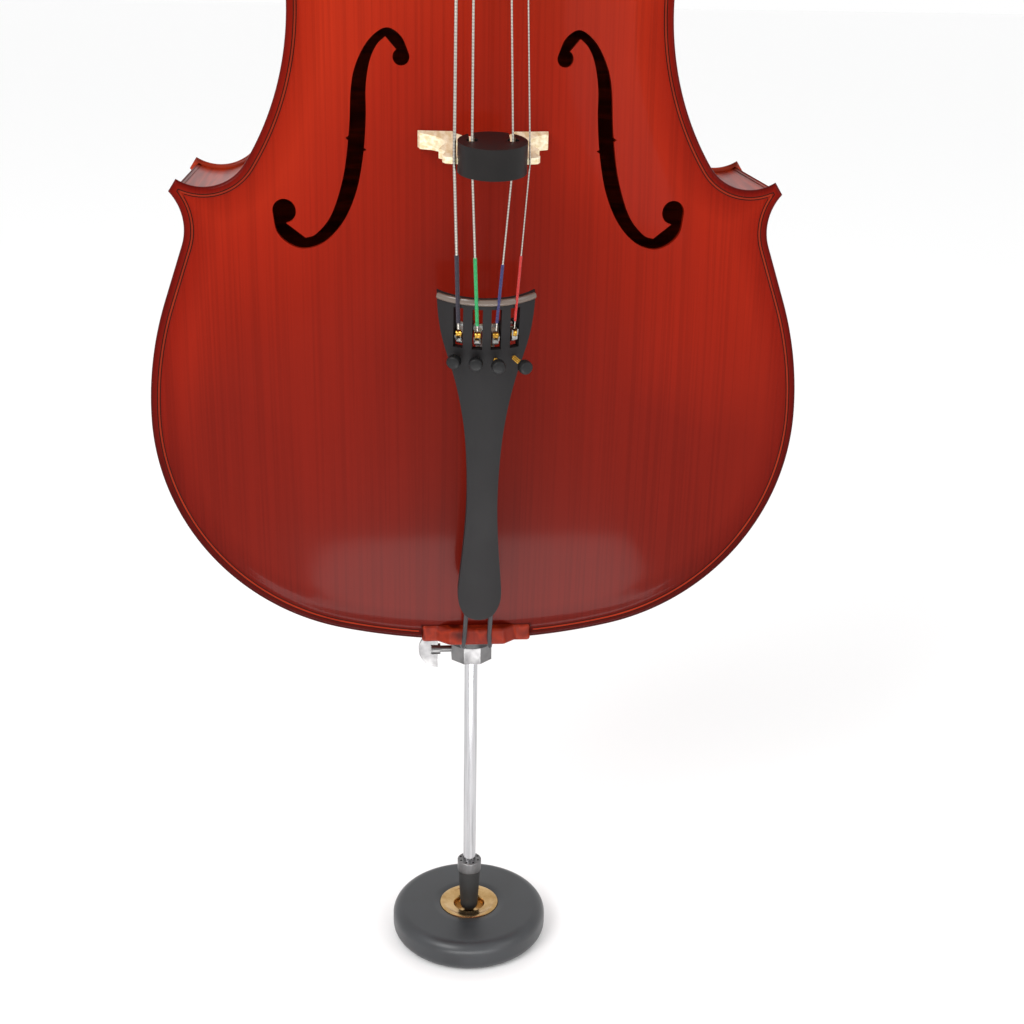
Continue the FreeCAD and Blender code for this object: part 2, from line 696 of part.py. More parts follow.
def tailgut():
    """The cord over the saddle: two legs and a half turn round the plug's groove, made whole."""
    radius = 1.6
    loop_r = 14.5 + radius + 0.15
    level = -3.6
    legs = tailgut_points()
    below = legs[-1]
    gap = math.hypot(below.x, PIN_Y - below.y)
    heading = math.atan2(PIN_Y - below.y, -below.x) - math.asin(loop_r / gap)
    run = math.sqrt(gap ** 2 - loop_r ** 2)
    touch = V(below.x + run * math.cos(heading), below.y + run * math.sin(heading), level)
    leg = bent_tube(legs + [touch], [12.0, 6.0, 4.0], radius)
    start = V(touch.x, touch.y, level)
    loop = Part.Arc(start, V(0, PIN_Y + loop_r, level), V(-start.x, start.y, level)).toShape()
    ring = Part.Wire(Part.makeCircle(radius, start, touch - below))
    turn = Part.Solid(Part.Wire([loop]).makePipeShell([ring], True, False))
    return one(leg.fuse([mirrored(leg), turn]))


def endpin_plug():
    """A tapered plug in the lower block, with a groove for the tailgut and a head."""
    taper = Part.makeCone(12.5, 13.5, 40, V(0, PIN_Y, 43.5), V(0, 0, -1))
    neck_part = upright(14.5, PIN_Y, -9.0, 3.5)
    head = upright(16.6, PIN_Y, COLLAR_Z[1], -8.0)
    bore = upright(ROD_R + 0.05, PIN_Y, -60, 60)
    return one(taper.fuse([neck_part, head]).cut(bore))


def endpin_collar():
    """A metal ring with eight flats, drilled across for the thumbscrew."""
    low, high = COLLAR_Z
    flats = [V(COLLAR_R * math.cos(a), PIN_Y + COLLAR_R * math.sin(a), low)
             for a in [math.radians(22.5 + 45 * i) for i in range(8)]]
    solid = prism(flats, V(0, 0, high - low))
    solid = solid.cut(upright(ROD_R + 0.05, PIN_Y, low - 1, high + 1))
    return one(solid.cut(rod(2.56, V(-30, PIN_Y, THUMB_Z), V(0, PIN_Y, THUMB_Z))))


def thumbscrew_shank():
    return rod(2.5, V(-26.5, PIN_Y, THUMB_Z), V(-ROD_R - 0.15, PIN_Y, THUMB_Z))


def thumbscrew_wing():
    """A half-moon wing, flat side towards the collar, with a short hub on the screw."""
    centre = V(-25.6, PIN_Y - 1.6, THUMB_Z)
    disc = Part.makeCylinder(14.5, 3.2, centre, Y_AXIS)
    wing = disc.common(box(-60, -25.6, PIN_Y - 5, PIN_Y + 5, -80, 20))
    hub = rod(4.2, V(-30.5, PIN_Y, THUMB_Z), V(-23.6, PIN_Y, THUMB_Z))
    return one(wing.fuse(hub).cut(rod(2.5, V(-26.5, PIN_Y, THUMB_Z), V(-10, PIN_Y, THUMB_Z))))


def endpin_rod():
    return upright(ROD_R, PIN_Y, ROD_Z[0], ROD_Z[1])


def endpin_ferrule():
    low, high = FERRULE_Z
    blank = upright(9.5, PIN_Y, low, high)
    blank = blank.makeFillet(1.0, [edge for edge in blank.Edges if edge.BoundBox.ZLength < 0.01])
    solid = blank.cut(upright(ROD_R, PIN_Y, low - 5, high + 5))
    for i in range(8):
        angle = math.radians(45 * i + 22.5)
        x = 7.3 * math.cos(angle)
        y = PIN_Y + 7.3 * math.sin(angle)
        solid = solid.cut(upright(0.9, y, high - 3, high + 1, x))
    return one(solid)


def rubber_tip():
    cone = Part.makeCone(TIP_BALL_R, 8.8, FERRULE_Z[0] - TIP_BALL_Z, V(0, PIN_Y, TIP_BALL_Z), Z_AXIS)
    ball = Part.makeSphere(TIP_BALL_R, V(0, PIN_Y, TIP_BALL_Z))
    spike = upright(ROD_R, PIN_Y, ROD_Z[0], FERRULE_Z[0] + 1)
    return one(cone.fuse(ball).cut(spike))


def floor_rest_disc():
    blank = upright(REST_R, PIN_Y, FLOOR_Z, FLOOR_Z + REST_H)
    blank = blank.makeFillet(REST_ROUND, [edge for edge in blank.Edges if edge.BoundBox.ZLength < 0.01])
    top = FLOOR_Z + REST_H
    return one(blank.cut(upright(CUP_R, PIN_Y, top - CUP_DEEP, top + 5)))


def floor_rest_cup():
    top = FLOOR_Z + REST_H
    solid = upright(CUP_R, PIN_Y, top - CUP_DEEP, top + CUP_PROUD)
    return one(solid.cut(upright(CUP_HOLE_R, PIN_Y, CUP_FLOOR, top + 5)))


# ---------------------------------------------------------------- the body's own pieces

NECK = neck()


def front_plate():
    slab = FRONT_SKIN.extrude(V(0, PLATE_T, 0)).common(outline_block(-60, 20))
    hole = f_hole()
    slab = slab.cut(hole).cut(mirrored(hole))
    slab = slab.cut(ring_between(PURFLING_IN, PURFLING_IN + PURFLING_W, -60, -PLATE_T + PURFLING_DEEP))
    slab = slab.cut(box(-39, 39, -60, 10, -5, 12))
    return one(slab.cut(NECK))


def back_plate():
    skin = BACK_SKIN.extrude(V(0, -PLATE_T, 0))
    slab = skin.common(outline_block(RIB_DEPTH - 20, RIB_DEPTH + 60))
    slab = slab.fuse(Part.makeCylinder(15.0, PLATE_T, V(0, RIB_DEPTH, BODY_LENGTH + 1), Y_AXIS))
    y = RIB_DEPTH + PLATE_T - PURFLING_DEEP
    return one(slab.cut(ring_between(PURFLING_IN, PURFLING_IN + PURFLING_W, y, y + 60)))


def purfling(y0):
    band = ring_between(PURFLING_IN, PURFLING_IN + PURFLING_W, y0, y0 + PURFLING_DEEP)
    return one(band.cut(box(-39, 39, -60, 10, -5, 12)).cut(NECK))


LOWER_SPLIT = [V(150, -10, 288.3), V(260, -10, 365.4)]
UPPER_SPLIT = [V(110, -10, 535.9), V(260, -10, 442.2)]


def rib_region(part):
    """The half-space slices that part one side's rib band at its two corners."""
    low_in, low_out = LOWER_SPLIT
    high_in, high_out = UPPER_SPLIT
    if part == "lower":
        points = [V(0, -10, -20), V(260, -10, -20), low_out, low_in, V(0, -10, low_in.z)]
    elif part == "waist":
        points = [V(0, -10, low_in.z), low_in, low_out, high_out, high_in, V(0, -10, high_in.z)]
    else:
        points = [V(0, -10, high_in.z), high_in, high_out, V(260, -10, 780), V(0, -10, 780)]
    return prism(points, V(0, RIB_DEPTH + 20, 0))


def rib(part):
    band = ring_between(OVERHANG, OVERHANG + RIB_T, 0, RIB_DEPTH).common(rib_region(part))
    return band.cut(NECK).cut(endpin_hole())


def endpin_hole():
    return Part.makeCone(12.5, 13.5, 40, V(0, PIN_Y, 43.5), V(0, 0, -1)).fuse(upright(14.5, PIN_Y, -9, 3.5))


def inside_ribs():
    face = inset(OVERHANG + RIB_T)
    return face.extrude(V(0, RIB_DEPTH, 0))


def corner_blocks():
    """Four willow blocks behind the corners, each shaped by the ribs in front of it."""
    inner = inside_ribs()
    low = prism([V(150, 0, 330), V(176, 0, 296), V(230, 0, 270), V(230, 0, 360)], V(0, RIB_DEPTH, 0))
    high = prism([V(118, 0, 492), V(140, 0, 540), V(190, 0, 560), V(190, 0, 470)], V(0, RIB_DEPTH, 0))
    blocks = [inner.common(low), inner.common(high)]
    solids = [solid for block in blocks for solid in block.Solids]
    return solids + [mirrored(solid) for solid in solids]


def end_block(half_width, z0, z1, cutter):
    return inside_ribs().common(box(-half_width, half_width, 0, RIB_DEPTH, z0, z1)).cut(cutter)


def lining(y0):
    """A thin strip glued inside the ribs, stopped by the blocks."""
    band = ring_between(OVERHANG + RIB_T, OVERHANG + RIB_T + LINING_T, y0, y0 + LINING_H).cut(NECK)
    for block in BLOCKS:
        band = band.cut(block)
    return band.Solids


def bass_bar():
    blank = prism([V(-30, -40, 118), V(-30, -18, 118), V(-30, 2, 250), V(-30, 4, 352), V(-30, 2, 470),
                   V(-30, -18, 640), V(-30, -40, 640)], V(11, 0, 0))
    return one(blank.common(below_front(PLATE_T)))


def sound_post():
    post = rod(5.5, V(27, -60, 338), V(27, 200, 338))
    return one(post.common(below_front(PLATE_T)).common(before_back(PLATE_T)))


CORNER_BLOCKS = corner_blocks()
UPPER_BLOCK = end_block(62, 728, 760, NECK)
LOWER_BLOCK = end_block(48, 0, 30, endpin_hole())
BLOCKS = CORNER_BLOCKS + [UPPER_BLOCK, LOWER_BLOCK]


def build_body():
    save("front_plate", front_plate())
    save("back_plate", back_plate())
    save("front_purfling", purfling(-PLATE_T))
    save("back_purfling", purfling(RIB_DEPTH + PLATE_T - PURFLING_DEEP))
    for part in ("upper", "waist", "lower"):
        band = rib(part)
        save("rib_" + part + "_right", *band.Solids)
        save("rib_" + part + "_left", *mirrored(band).Solids)
    save("linings_front", *lining(0.0))
    save("linings_back", *lining(RIB_DEPTH - LINING_H))
    save("corner_blocks", *CORNER_BLOCKS)
    save("upper_block", one(UPPER_BLOCK))
    save("lower_block", one(LOWER_BLOCK))
    save("bass_bar", bass_bar())
    save("sound_post", sound_post())


def build_neck():
    save("neck", NECK)
    save("fingerboard", fingerboard())
    save("nut", nut())
    for name in STRINGS:
        save("peg_" + name, peg(name))
        save("winding_" + name, winding(name))


def build_stringing():
    save("bridge", bridge())
    save("mute", mute())
    save("saddle", saddle())
    save("tailgut", tailgut())
    save("tailpiece", tailpiece())
    save("tuner_pins", *tuner_pins())
    for name in STRINGS:
        save("string_" + name, string(name))
        save("tuner_lever_" + name, tuner_lever(name))
        save("tuner_screw_" + name, tuner_screw(name))
        save("tuner_knob_" + name, tuner_knob(name))


def build_endpin():
    save("endpin_plug", endpin_plug())
    save("endpin_collar", endpin_collar())
    save("thumbscrew_shank", thumbscrew_shank())
    save("thumbscrew_wing", thumbscrew_wing())
    save("endpin_rod", endpin_rod())
    save("endpin_ferrule", endpin_ferrule())
    save("rubber_tip", rubber_tip())
    save("floor_rest_disc", floor_rest_disc())
    save("floor_rest_cup", floor_rest_cup())


os.makedirs("parts", exist_ok=True)
build_body()
build_neck()
build_stringing()
build_endpin()
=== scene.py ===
import json
import math

import bmesh
import bpy
import numpy as np
from mathutils import Matrix, Vector, geometry

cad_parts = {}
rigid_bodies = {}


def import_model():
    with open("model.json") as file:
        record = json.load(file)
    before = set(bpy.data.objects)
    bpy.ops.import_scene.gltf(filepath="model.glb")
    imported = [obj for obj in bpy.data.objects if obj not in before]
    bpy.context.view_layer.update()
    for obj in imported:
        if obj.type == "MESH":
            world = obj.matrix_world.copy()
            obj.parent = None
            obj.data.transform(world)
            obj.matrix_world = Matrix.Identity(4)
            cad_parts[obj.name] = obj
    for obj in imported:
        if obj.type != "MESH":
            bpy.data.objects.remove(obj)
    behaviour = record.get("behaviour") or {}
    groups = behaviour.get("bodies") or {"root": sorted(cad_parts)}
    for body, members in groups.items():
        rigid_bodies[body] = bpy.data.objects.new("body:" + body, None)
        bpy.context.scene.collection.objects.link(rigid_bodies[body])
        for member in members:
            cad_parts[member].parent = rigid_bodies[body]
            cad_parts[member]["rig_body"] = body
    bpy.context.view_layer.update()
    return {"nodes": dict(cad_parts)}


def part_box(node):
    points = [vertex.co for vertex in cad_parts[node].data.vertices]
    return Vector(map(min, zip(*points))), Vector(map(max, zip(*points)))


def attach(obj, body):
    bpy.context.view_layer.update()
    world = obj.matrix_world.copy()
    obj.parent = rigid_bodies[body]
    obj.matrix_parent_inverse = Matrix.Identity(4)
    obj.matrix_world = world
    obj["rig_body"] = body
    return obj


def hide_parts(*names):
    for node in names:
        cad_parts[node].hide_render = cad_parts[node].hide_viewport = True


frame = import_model()

# A cello with a round mute on its bridge, standing by its endpin in a round floor rest.
# Shapes are drawn in millimetres from the bottom edge of the body: x across, the strings on the -y side,
# z up the body, y = 0 on the ribs' front edge. put() brings them to metres in the row frame.

MM = 0.001
HOME = Vector((0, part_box("rib_lower_left")[0].y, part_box("back_plate")[0].z))
STRINGS = ["c", "g", "d", "a"]

# Body outline
BODY_LENGTH = 755.0
LOWER_BOUT = dict(half=220.0, widest=167.0, end_r=430.0, end=0.0, side_r=240.0,
                  neck=(191.5, 295.0, 35.0), corner=318.0, up=1)
UPPER_BOUT = dict(half=172.5, widest=648.0, end_r=320.0, end=BODY_LENGTH, side_r=200.0,
                  neck=(152.1, 529.0, 28.0), corner=510.0, up=-1)
LOWER_HOOK = (178.0, 321.0, 195.0)
UPPER_HOOK = (146.5, 505.0, 155.0)
WAIST_HALF = 121.5
WAIST_Z = 436.0
WAIST_LOW_R = 185.0
WAIST_HIGH_R = 300.0
OUTLINE_STEP = 2.6

# Plates and ribs
PLATE_T = 4.5
RIB_DEPTH = (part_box("rib_lower_left")[1].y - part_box("rib_lower_left")[0].y) / MM
ARCH = 24.0
ARCH_MARGIN = 10.0
OVERHANG = 3.5
RIB_T = 2.0
FLUTE = 0.9
FLUTE_AT = 8.0
EDGE_FLAT = 2.4
PURFLING_LINES = [("dark_outer", 4.4, 5.0), ("pale", 5.0, 6.1), ("dark_inner", 6.1, 6.7)]
STRIP_PROUD = 0.06
STRIP_DEPTH = 1.2
GRAIN = 1.9

# Faces that meet at more than this angle count as an edge to be eased
EDGE_ANGLE = 35


# ---------------------------------------------------------------- helpers

def put(points):
    """Millimetres from the body's bottom edge to metres in the row frame."""
    return [tuple(v) for v in np.asarray(points, float) * MM + np.array(HOME)]


def piece(name, points, faces, finish, smooth=True, merge=0.0):
    """A mesh object from points in millimetres, its faces turned outwards."""
    mesh = bpy.data.meshes.new(name)
    mesh.from_pydata(put(points), [], [tuple(int(i) for i in f) for f in faces])
    body = bmesh.new()
    body.from_mesh(mesh)
    if merge:
        bmesh.ops.remove_doubles(body, verts=body.verts, dist=merge * MM)
    bmesh.ops.recalc_face_normals(body, faces=body.faces)
    body.to_mesh(mesh)
    body.free()
    return shown(name, mesh, finish, smooth)


def shown(name, mesh, finish, smooth=True, sharp=40):
    """Puts a mesh in the scene with its finish."""
    made = bpy.data.objects.new(name, mesh)
    bpy.context.scene.collection.objects.link(made)
    mesh.materials.clear()
    for one in finish if isinstance(finish, list) else [finish]:
        mesh.materials.append(one)
    if smooth:
        mesh.shade_smooth()
        mesh.set_sharp_from_angle(angle=math.radians(sharp))
    return made


def settle(made, body, slot, *nodes):
    """Rides a finished piece on its body, and hides the CAD nodes it stands for."""
    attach(made, body)
    if nodes:
        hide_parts(*nodes)
    return made


def baked(made):
    """Turns an object's modifiers into its plain mesh."""
    depsgraph = bpy.context.evaluated_depsgraph_get()
    mesh = bpy.data.meshes.new_from_object(made.evaluated_get(depsgraph))
    made.modifiers.clear()
    old = made.data
    made.data = mesh
    mesh.name = made.name
    bpy.data.meshes.remove(old)
    return made


def worked(node, finish, slot, edge=0.3, segments=2):
    """A CAD node's own shape with its triangles merged, its flats made whole and its edges eased."""
    mesh = frame["nodes"][node].data.copy()
    shape = bmesh.new()
    shape.from_mesh(mesh)
    bmesh.ops.remove_doubles(shape, verts=shape.verts, dist=2e-5)
    bmesh.ops.dissolve_limit(shape, angle_limit=math.radians(0.6), verts=shape.verts, edges=shape.edges)
    shape.to_mesh(mesh)
    shape.free()
    while mesh.attributes.get("custom_normal"):
        mesh.attributes.remove(mesh.attributes["custom_normal"])
    made = shown(node + "_worked", mesh, finish, sharp=EDGE_ANGLE)
    if edge:
        bevel = made.modifiers.new("eased", "BEVEL")
        bevel.width = edge * MM
        bevel.segments = segments
        bevel.limit_method = "ANGLE"
        bevel.angle_limit = math.radians(EDGE_ANGLE)
        bevel.harden_normals = True
        bevel.use_clamp_overlap = True
        baked(made)
    return settle(made, frame["nodes"][node]["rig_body"], slot, node)


def closed_faces(rings, count):
    """Faces that join rings of so many points each, with both ends filled."""
    faces = []
    for k in range(rings - 1):
        low, high = k * count, (k + 1) * count
        faces += [(low + i, low + (i + 1) % count, high + (i + 1) % count, high + i) for i in range(count)]
    faces.append(tuple(range(count))[::-1])
    faces.append(tuple(range((rings - 1) * count, rings * count)))
    return faces


def lathe(profile, turns=64, centre=(0, 0), wave=None):
    """Points and faces of a closed turning about an upright axis. profile is (radius, z) from low to high."""
    points = []
    for k, (radius, z) in enumerate(profile):
        for i in range(turns):
            a = 2 * math.pi * i / turns
            r = radius * (wave(a, k) if wave else 1)
            points.append((centre[0] + r * math.cos(a), centre[1] + r * math.sin(a), z))
    return points, closed_faces(len(profile), turns)


def aimed(points, origin, direction):
    """Points drawn about an upright axis, turned to stand at origin along direction."""
    turn = Vector(direction).to_track_quat("Z", "Y").to_matrix()
    return [tuple(Vector(origin) + turn @ Vector(p)) for p in points]


def loft(rings):
    """Points and faces of closed rings of equal count, one after another, with both ends filled."""
    count = len(rings[0])
    points = [p for ring in rings for p in ring]
    return points, closed_faces(len(rings), count)


def curve_through(points, step=1.5):
    """A smooth line through 2-D or 3-D points, as evenly spaced points."""
    p = np.array(points, float)
    p = np.vstack([2 * p[0] - p[1], p, 2 * p[-1] - p[-2]])
    out = []
    for a, b, c, d in zip(p, p[1:], p[2:], p[3:]):
        n = max(2, int(np.linalg.norm(c - b) / step))
        for t in np.arange(n) / n:
            out.append(0.5 * (2 * b + (c - a) * t + (2 * a - 5 * b + 4 * c - d) * t ** 2
                              + (3 * b - a - 3 * c + d) * t ** 3))
    out.append(p[-2])
    return np.array(out)


def even(points, step):
    """The same open line with its points evenly spaced."""
    p = np.asarray(points, float)
    run = np.concatenate([[0], np.cumsum(np.linalg.norm(np.diff(p, axis=0), axis=1))])
    count = max(2, round(run[-1] / step) + 1)
    at = np.linspace(0, run[-1], count)
    return np.stack([np.interp(at, run, p[:, k]) for k in range(p.shape[1])], axis=1)


# ---------------------------------------------------------------- materials

RAMP = "ShaderNodeValToRGB"
MIX = "ShaderNodeMix"
MATHS = "ShaderNodeMath"
BUMP = "ShaderNodeBump"
BLEND = dict(data_type="RGBA", blend_type="MIX", clamp_factor=True)
STAIN = dict(data_type="RGBA", blend_type="MULTIPLY", clamp_factor=True)
# A colour mix's inputs: how much of the upper colour, the lower one and the upper one
SHARE, UNDER, OVER = 0, 6, 7
# A wave pattern runs this many radians for each unit of its scale
WAVE_STEP = 20
WINDING = 1.8


def srgb(code):
    """An sRGB hex colour as linear red, green, blue and alpha."""
    parts = [int(code[i:i + 2], 16) / 255 for i in (1, 3, 5)]
    return tuple(c / 12.92 if c <= 0.04045 else ((c + 0.055) / 1.055) ** 2.4 for c in parts) + (1.0,)


def flow(source):
    """The output that a node feeds on: its own first one in use, or the socket that was picked."""
    if isinstance(source, bpy.types.Node):
        return next(socket for socket in source.outputs if socket.enabled)
    return source


def add(tree, kind, sockets=None, stops=(), **settings):
    """One node with its settings. sockets gives each input a value, or the node or output that feeds it;
    stops are a ramp's places, each with a hex colour or a grey value."""
    node = tree.nodes.new(kind)
    for key, value in settings.items():
        setattr(node, key, value)
    for key, value in (sockets or {}).items():
        if isinstance(value, (bpy.types.Node, bpy.types.NodeSocket)):
            tree.links.new(flow(value), node.inputs[key])
        else:
            node.inputs[key].default_value = value
    for k, (place, colour) in enumerate(stops):
        band = node.color_ramp.elements
        if k > 1:
            band.new(place)
        band[k].position = place
        band[k].color = srgb(colour) if isinstance(colour, str) else (colour, colour, colour, 1)
    return node


def blank(name, **sockets):
    """A new material, its tree and its shader, with the sockets that are the same all over."""
    made = bpy.data.materials.new(name)
    made.use_nodes = True
    shader = made.node_tree.nodes["Principled BSDF"]
    for key, value in sockets.items():
        shader.inputs[key.replace("_", " ")].default_value = value
    return made, made.node_tree, shader


def marks(tree, x, y, z, detail=3.0, rough=0.5, bend=0.0):
    """Uneven natural marks that repeat so many times in a metre along each axis of the cello."""
    spot = add(tree, "ShaderNodeTexCoord").outputs["Object"]
    scaled = add(tree, "ShaderNodeMapping", {"Vector": spot, "Scale": (x, y, z)})
    return add(tree, "ShaderNodeTexNoise", {"Vector": scaled, "Scale": 1.0, "Detail": detail,
                                            "Roughness": rough, "Distortion": bend})


def dress(tree, shader, colour, gloss, relief, depth, strength):
    """Feeds the shader its colour, its roughness and a relief of a real depth in millimetres."""
    raised = add(tree, BUMP, {"Height": relief, "Distance": depth * MM, "Strength": strength})
    for key, source in (("Base Color", colour), ("Roughness", gloss), ("Normal", raised)):
        tree.links.new(flow(source), shader.inputs[key])


def varnished_spruce():
    """Spruce under red oil varnish: fine straight grain, cloudy colour deeper at the edge, a ground colour
    brighter towards the top and both sides that is partly painted light, a soft gloss.
    """
    made, tree, shader = blank("red_varnished_spruce", IOR=1.5, Specular_IOR_Level=0.03,
                               Coat_Weight=0.07, Coat_Roughness=0.1)
    lines = marks(tree, 1 / (GRAIN * MM), 10, 3.5, detail=1.5, bend=0.25)
    fibres = marks(tree, 2600, 200, 22, detail=2.0)
    clouds = marks(tree, 7, 7, 4.5, detail=2.0, rough=0.45)
    place = add(tree, "ShaderNodeSeparateXYZ", {"Vector": add(tree, "ShaderNodeTexCoord").outputs["Object"]})
    # Partly painted light: the ground colour grows brighter towards the top of the body and towards both
    # sides, painted as light falling from above; the rest of this change is the varnish's own shading.
    height = add(tree, MATHS, {0: place.outputs["Z"], 1: 1.25, 2: -0.54}, operation="MULTIPLY_ADD")
    aside = add(tree, MATHS, {0: place.outputs["X"]}, operation="ABSOLUTE")
    painted_light_and_varnish_shading = add(tree, MATHS, {0: aside, 1: 0.9, 2: height}, operation="MULTIPLY_ADD")
    rise = add(tree, MATHS, {0: clouds, 1: 0.30, 2: painted_light_and_varnish_shading}, operation="MULTIPLY_ADD")
    # The ground ramp turns that tone into colour, so the painted light from above and the sides is in it.
    ground = add(tree, RAMP, {"Fac": rise},
                 [(0.10, "#5E130A"), (0.30, "#6E150A"), (0.48, "#8C1C0A"), (0.75, "#AE2C10")])
    grain = add(tree, RAMP, {"Fac": lines}, [(0.36, 0.82), (0.50, 1.0), (0.62, 1.05)])
    stained = add(tree, MIX, {SHARE: 0.6, UNDER: ground, OVER: grain}, **STAIN)
    flecks = add(tree, RAMP, {"Fac": fibres}, [(0.35, 0.75), (0.6, 1.08)])
    flecked = add(tree, MIX, {SHARE: 0.18, UNDER: stained, OVER: flecks}, **STAIN)
    rim = add(tree, "ShaderNodeAttribute", attribute_name="from_edge").outputs["Fac"]
    inwards = add(tree, MATHS, {0: rim, 1: 30.0}, operation="DIVIDE")
    shade = add(tree, RAMP, {"Fac": inwards},
                [(0.0, "#8E5040"), (0.10, "#B88470"), (0.28, "#E4D0C6"), (0.8, "#FFFFFF")])
    colour = add(tree, MIX, {SHARE: 1.0, UNDER: flecked, OVER: shade}, **STAIN)
    gloss = add(tree, RAMP, {"Fac": clouds}, [(0.3, 0.30), (0.7, 0.38)])
    relief = add(tree, MIX, {SHARE: 0.3, UNDER: lines, OVER: fibres}, **BLEND)
    dress(tree, shader, colour, gloss, relief, 0.05, 0.2)
    return made


def flamed(name, repeats, deep="#74200E", warm="#A63212"):
    """Flamed maple under the same varnish: bands across the grain, from red to amber, a soft gloss."""
    made, tree, shader = blank(name, IOR=1.5, Specular_IOR_Level=0.06, Coat_Weight=0.12, Coat_Roughness=0.1)
    flames = marks(tree, *repeats, detail=2.0, rough=0.4, bend=0.5)
    pores = marks(tree, 900, 900, 60, detail=2.0)
    clouds = marks(tree, 6, 6, 5, detail=2.0)
    ground = add(tree, RAMP, {"Fac": flames},
                 [(0.34, deep), (0.46, "#8C270F"), (0.54, warm), (0.66, "#80220E")])
    tone = add(tree, RAMP, {"Fac": clouds}, [(0.3, 0.7), (0.7, 1.1)])
    cloudy = add(tree, MIX, {SHARE: 0.5, UNDER: ground, OVER: tone}, **STAIN)
    dots = add(tree, RAMP, {"Fac": pores}, [(0.35, 0.75), (0.55, 1.0)])
    colour = add(tree, MIX, {SHARE: 0.3, UNDER: cloudy, OVER: dots}, **STAIN)
    gloss = add(tree, RAMP, {"Fac": clouds}, [(0.3, 0.30), (0.7, 0.38)])
    dress(tree, shader, colour, gloss, pores, 0.04, 0.2)
    return made


def bare_wood(name, pale, dark, repeats, rough=0.55):
    """Bare wood cut clean and left matt: grain lines, pores and a little tone."""
    made, tree, shader = blank(name, IOR=1.5)
    lines = marks(tree, *repeats, bend=0.3)
    pores = marks(tree, 1500, 1500, 300, detail=2.0)
    tone = add(tree, RAMP, {"Fac": lines}, [(0.35, dark), (0.6, pale)])
    dots = add(tree, RAMP, {"Fac": pores}, [(0.4, 0.6), (0.55, 1.0)])
    colour = add(tree, MIX, {SHARE: 0.25, UNDER: tone, OVER: dots}, **STAIN)
    gloss = add(tree, RAMP, {"Fac": pores}, [(0.3, rough + 0.08), (0.7, rough - 0.06)])
    dress(tree, shader, colour, gloss, pores, 0.05, 0.35)
    return made


def dark_solid(name, base, light, grit=0.35, rough=0.45, depth=0.03, **sockets):
    """A dark moulded or dyed material: faint cloudy tone, fine grit in the relief and a soft sheen."""
    made, tree, shader = blank(name, IOR=1.5, **sockets)
    per_metre = 1 / (grit * MM)
    grain = marks(tree, per_metre, per_metre, per_metre, detail=2.0)
    clouds = marks(tree, 40, 40, 40)
    mottle = add(tree, MIX, {SHARE: 0.35, UNDER: clouds, OVER: grain}, **BLEND)
    colour = add(tree, RAMP, {"Fac": mottle}, [(0.3, base), (0.7, light)])
    gloss = add(tree, RAMP, {"Fac": clouds}, [(0.25, rough - 0.05), (0.75, rough + 0.09)])
    dress(tree, shader, colour, gloss, grain, depth, 0.4)
    return made


def bright_metal(name, colour, darker, rough, repeats=(60, 60, 60), depth=0.004):
    """Plated or drawn metal: mirror-like, with faint wear that changes its gloss."""
    made, tree, shader = blank(name, Metallic=1.0)
    wear = marks(tree, *repeats, detail=4.0, rough=0.6)
    tone = add(tree, RAMP, {"Fac": wear}, [(0.3, darker), (0.6, colour)])
    gloss = add(tree, RAMP, {"Fac": wear}, [(0.3, rough * 1.7), (0.65, rough)])
    dress(tree, shader, tone, gloss, wear, depth, 0.3)
    return made


def wound_steel():
    """Steel string with a flat-wire winding: the turns are drawn 1.8 mm apart, wider than real, to show."""
    made, tree, shader = blank("wound_string_steel", Metallic=1.0)
    spot = add(tree, "ShaderNodeTexCoord").outputs["Object"]
    upright = add(tree, "ShaderNodeMapping", {"Vector": spot, "Scale": (0, 0, 1)})
    often = 2 * math.pi / (WAVE_STEP * WINDING * MM)
    turns = add(tree, "ShaderNodeTexWave", {"Vector": upright, "Scale": often},
                bands_direction="Z", wave_profile="SIN").outputs["Fac"]
    wear = marks(tree, 30, 30, 30, detail=2.0)
    tone = add(tree, RAMP, {"Fac": turns}, [(0.0, "#8E8A84"), (0.5, "#B0ABA2")])
    rubbed = add(tree, RAMP, {"Fac": wear}, [(0.3, 0.75), (0.7, 1.0)])
    colour = add(tree, MIX, {SHARE: 0.3, UNDER: tone, OVER: rubbed}, **STAIN)
    gloss = add(tree, RAMP, {"Fac": wear}, [(0.3, 0.30), (0.7, 0.40)])
    dress(tree, shader, colour, gloss, turns, 0.03, 0.3)
    return made


def silk(name, colour, dark):
    """Lapped silk thread: a soft sheen and a slightly darker tone that changes at random."""
    made, tree, shader = blank(name, IOR=1.5, Sheen_Weight=0.3, Sheen_Roughness=0.4)
    fluff = marks(tree, 3000, 3000, 900, detail=2.0)
    tone = add(tree, RAMP, {"Fac": fluff}, [(0.3, dark), (0.6, colour)])
    gloss = add(tree, RAMP, {"Fac": fluff}, [(0.3, 0.75), (0.7, 0.55)])
    dress(tree, shader, tone, gloss, fluff, 0.03, 0.4)
    return made


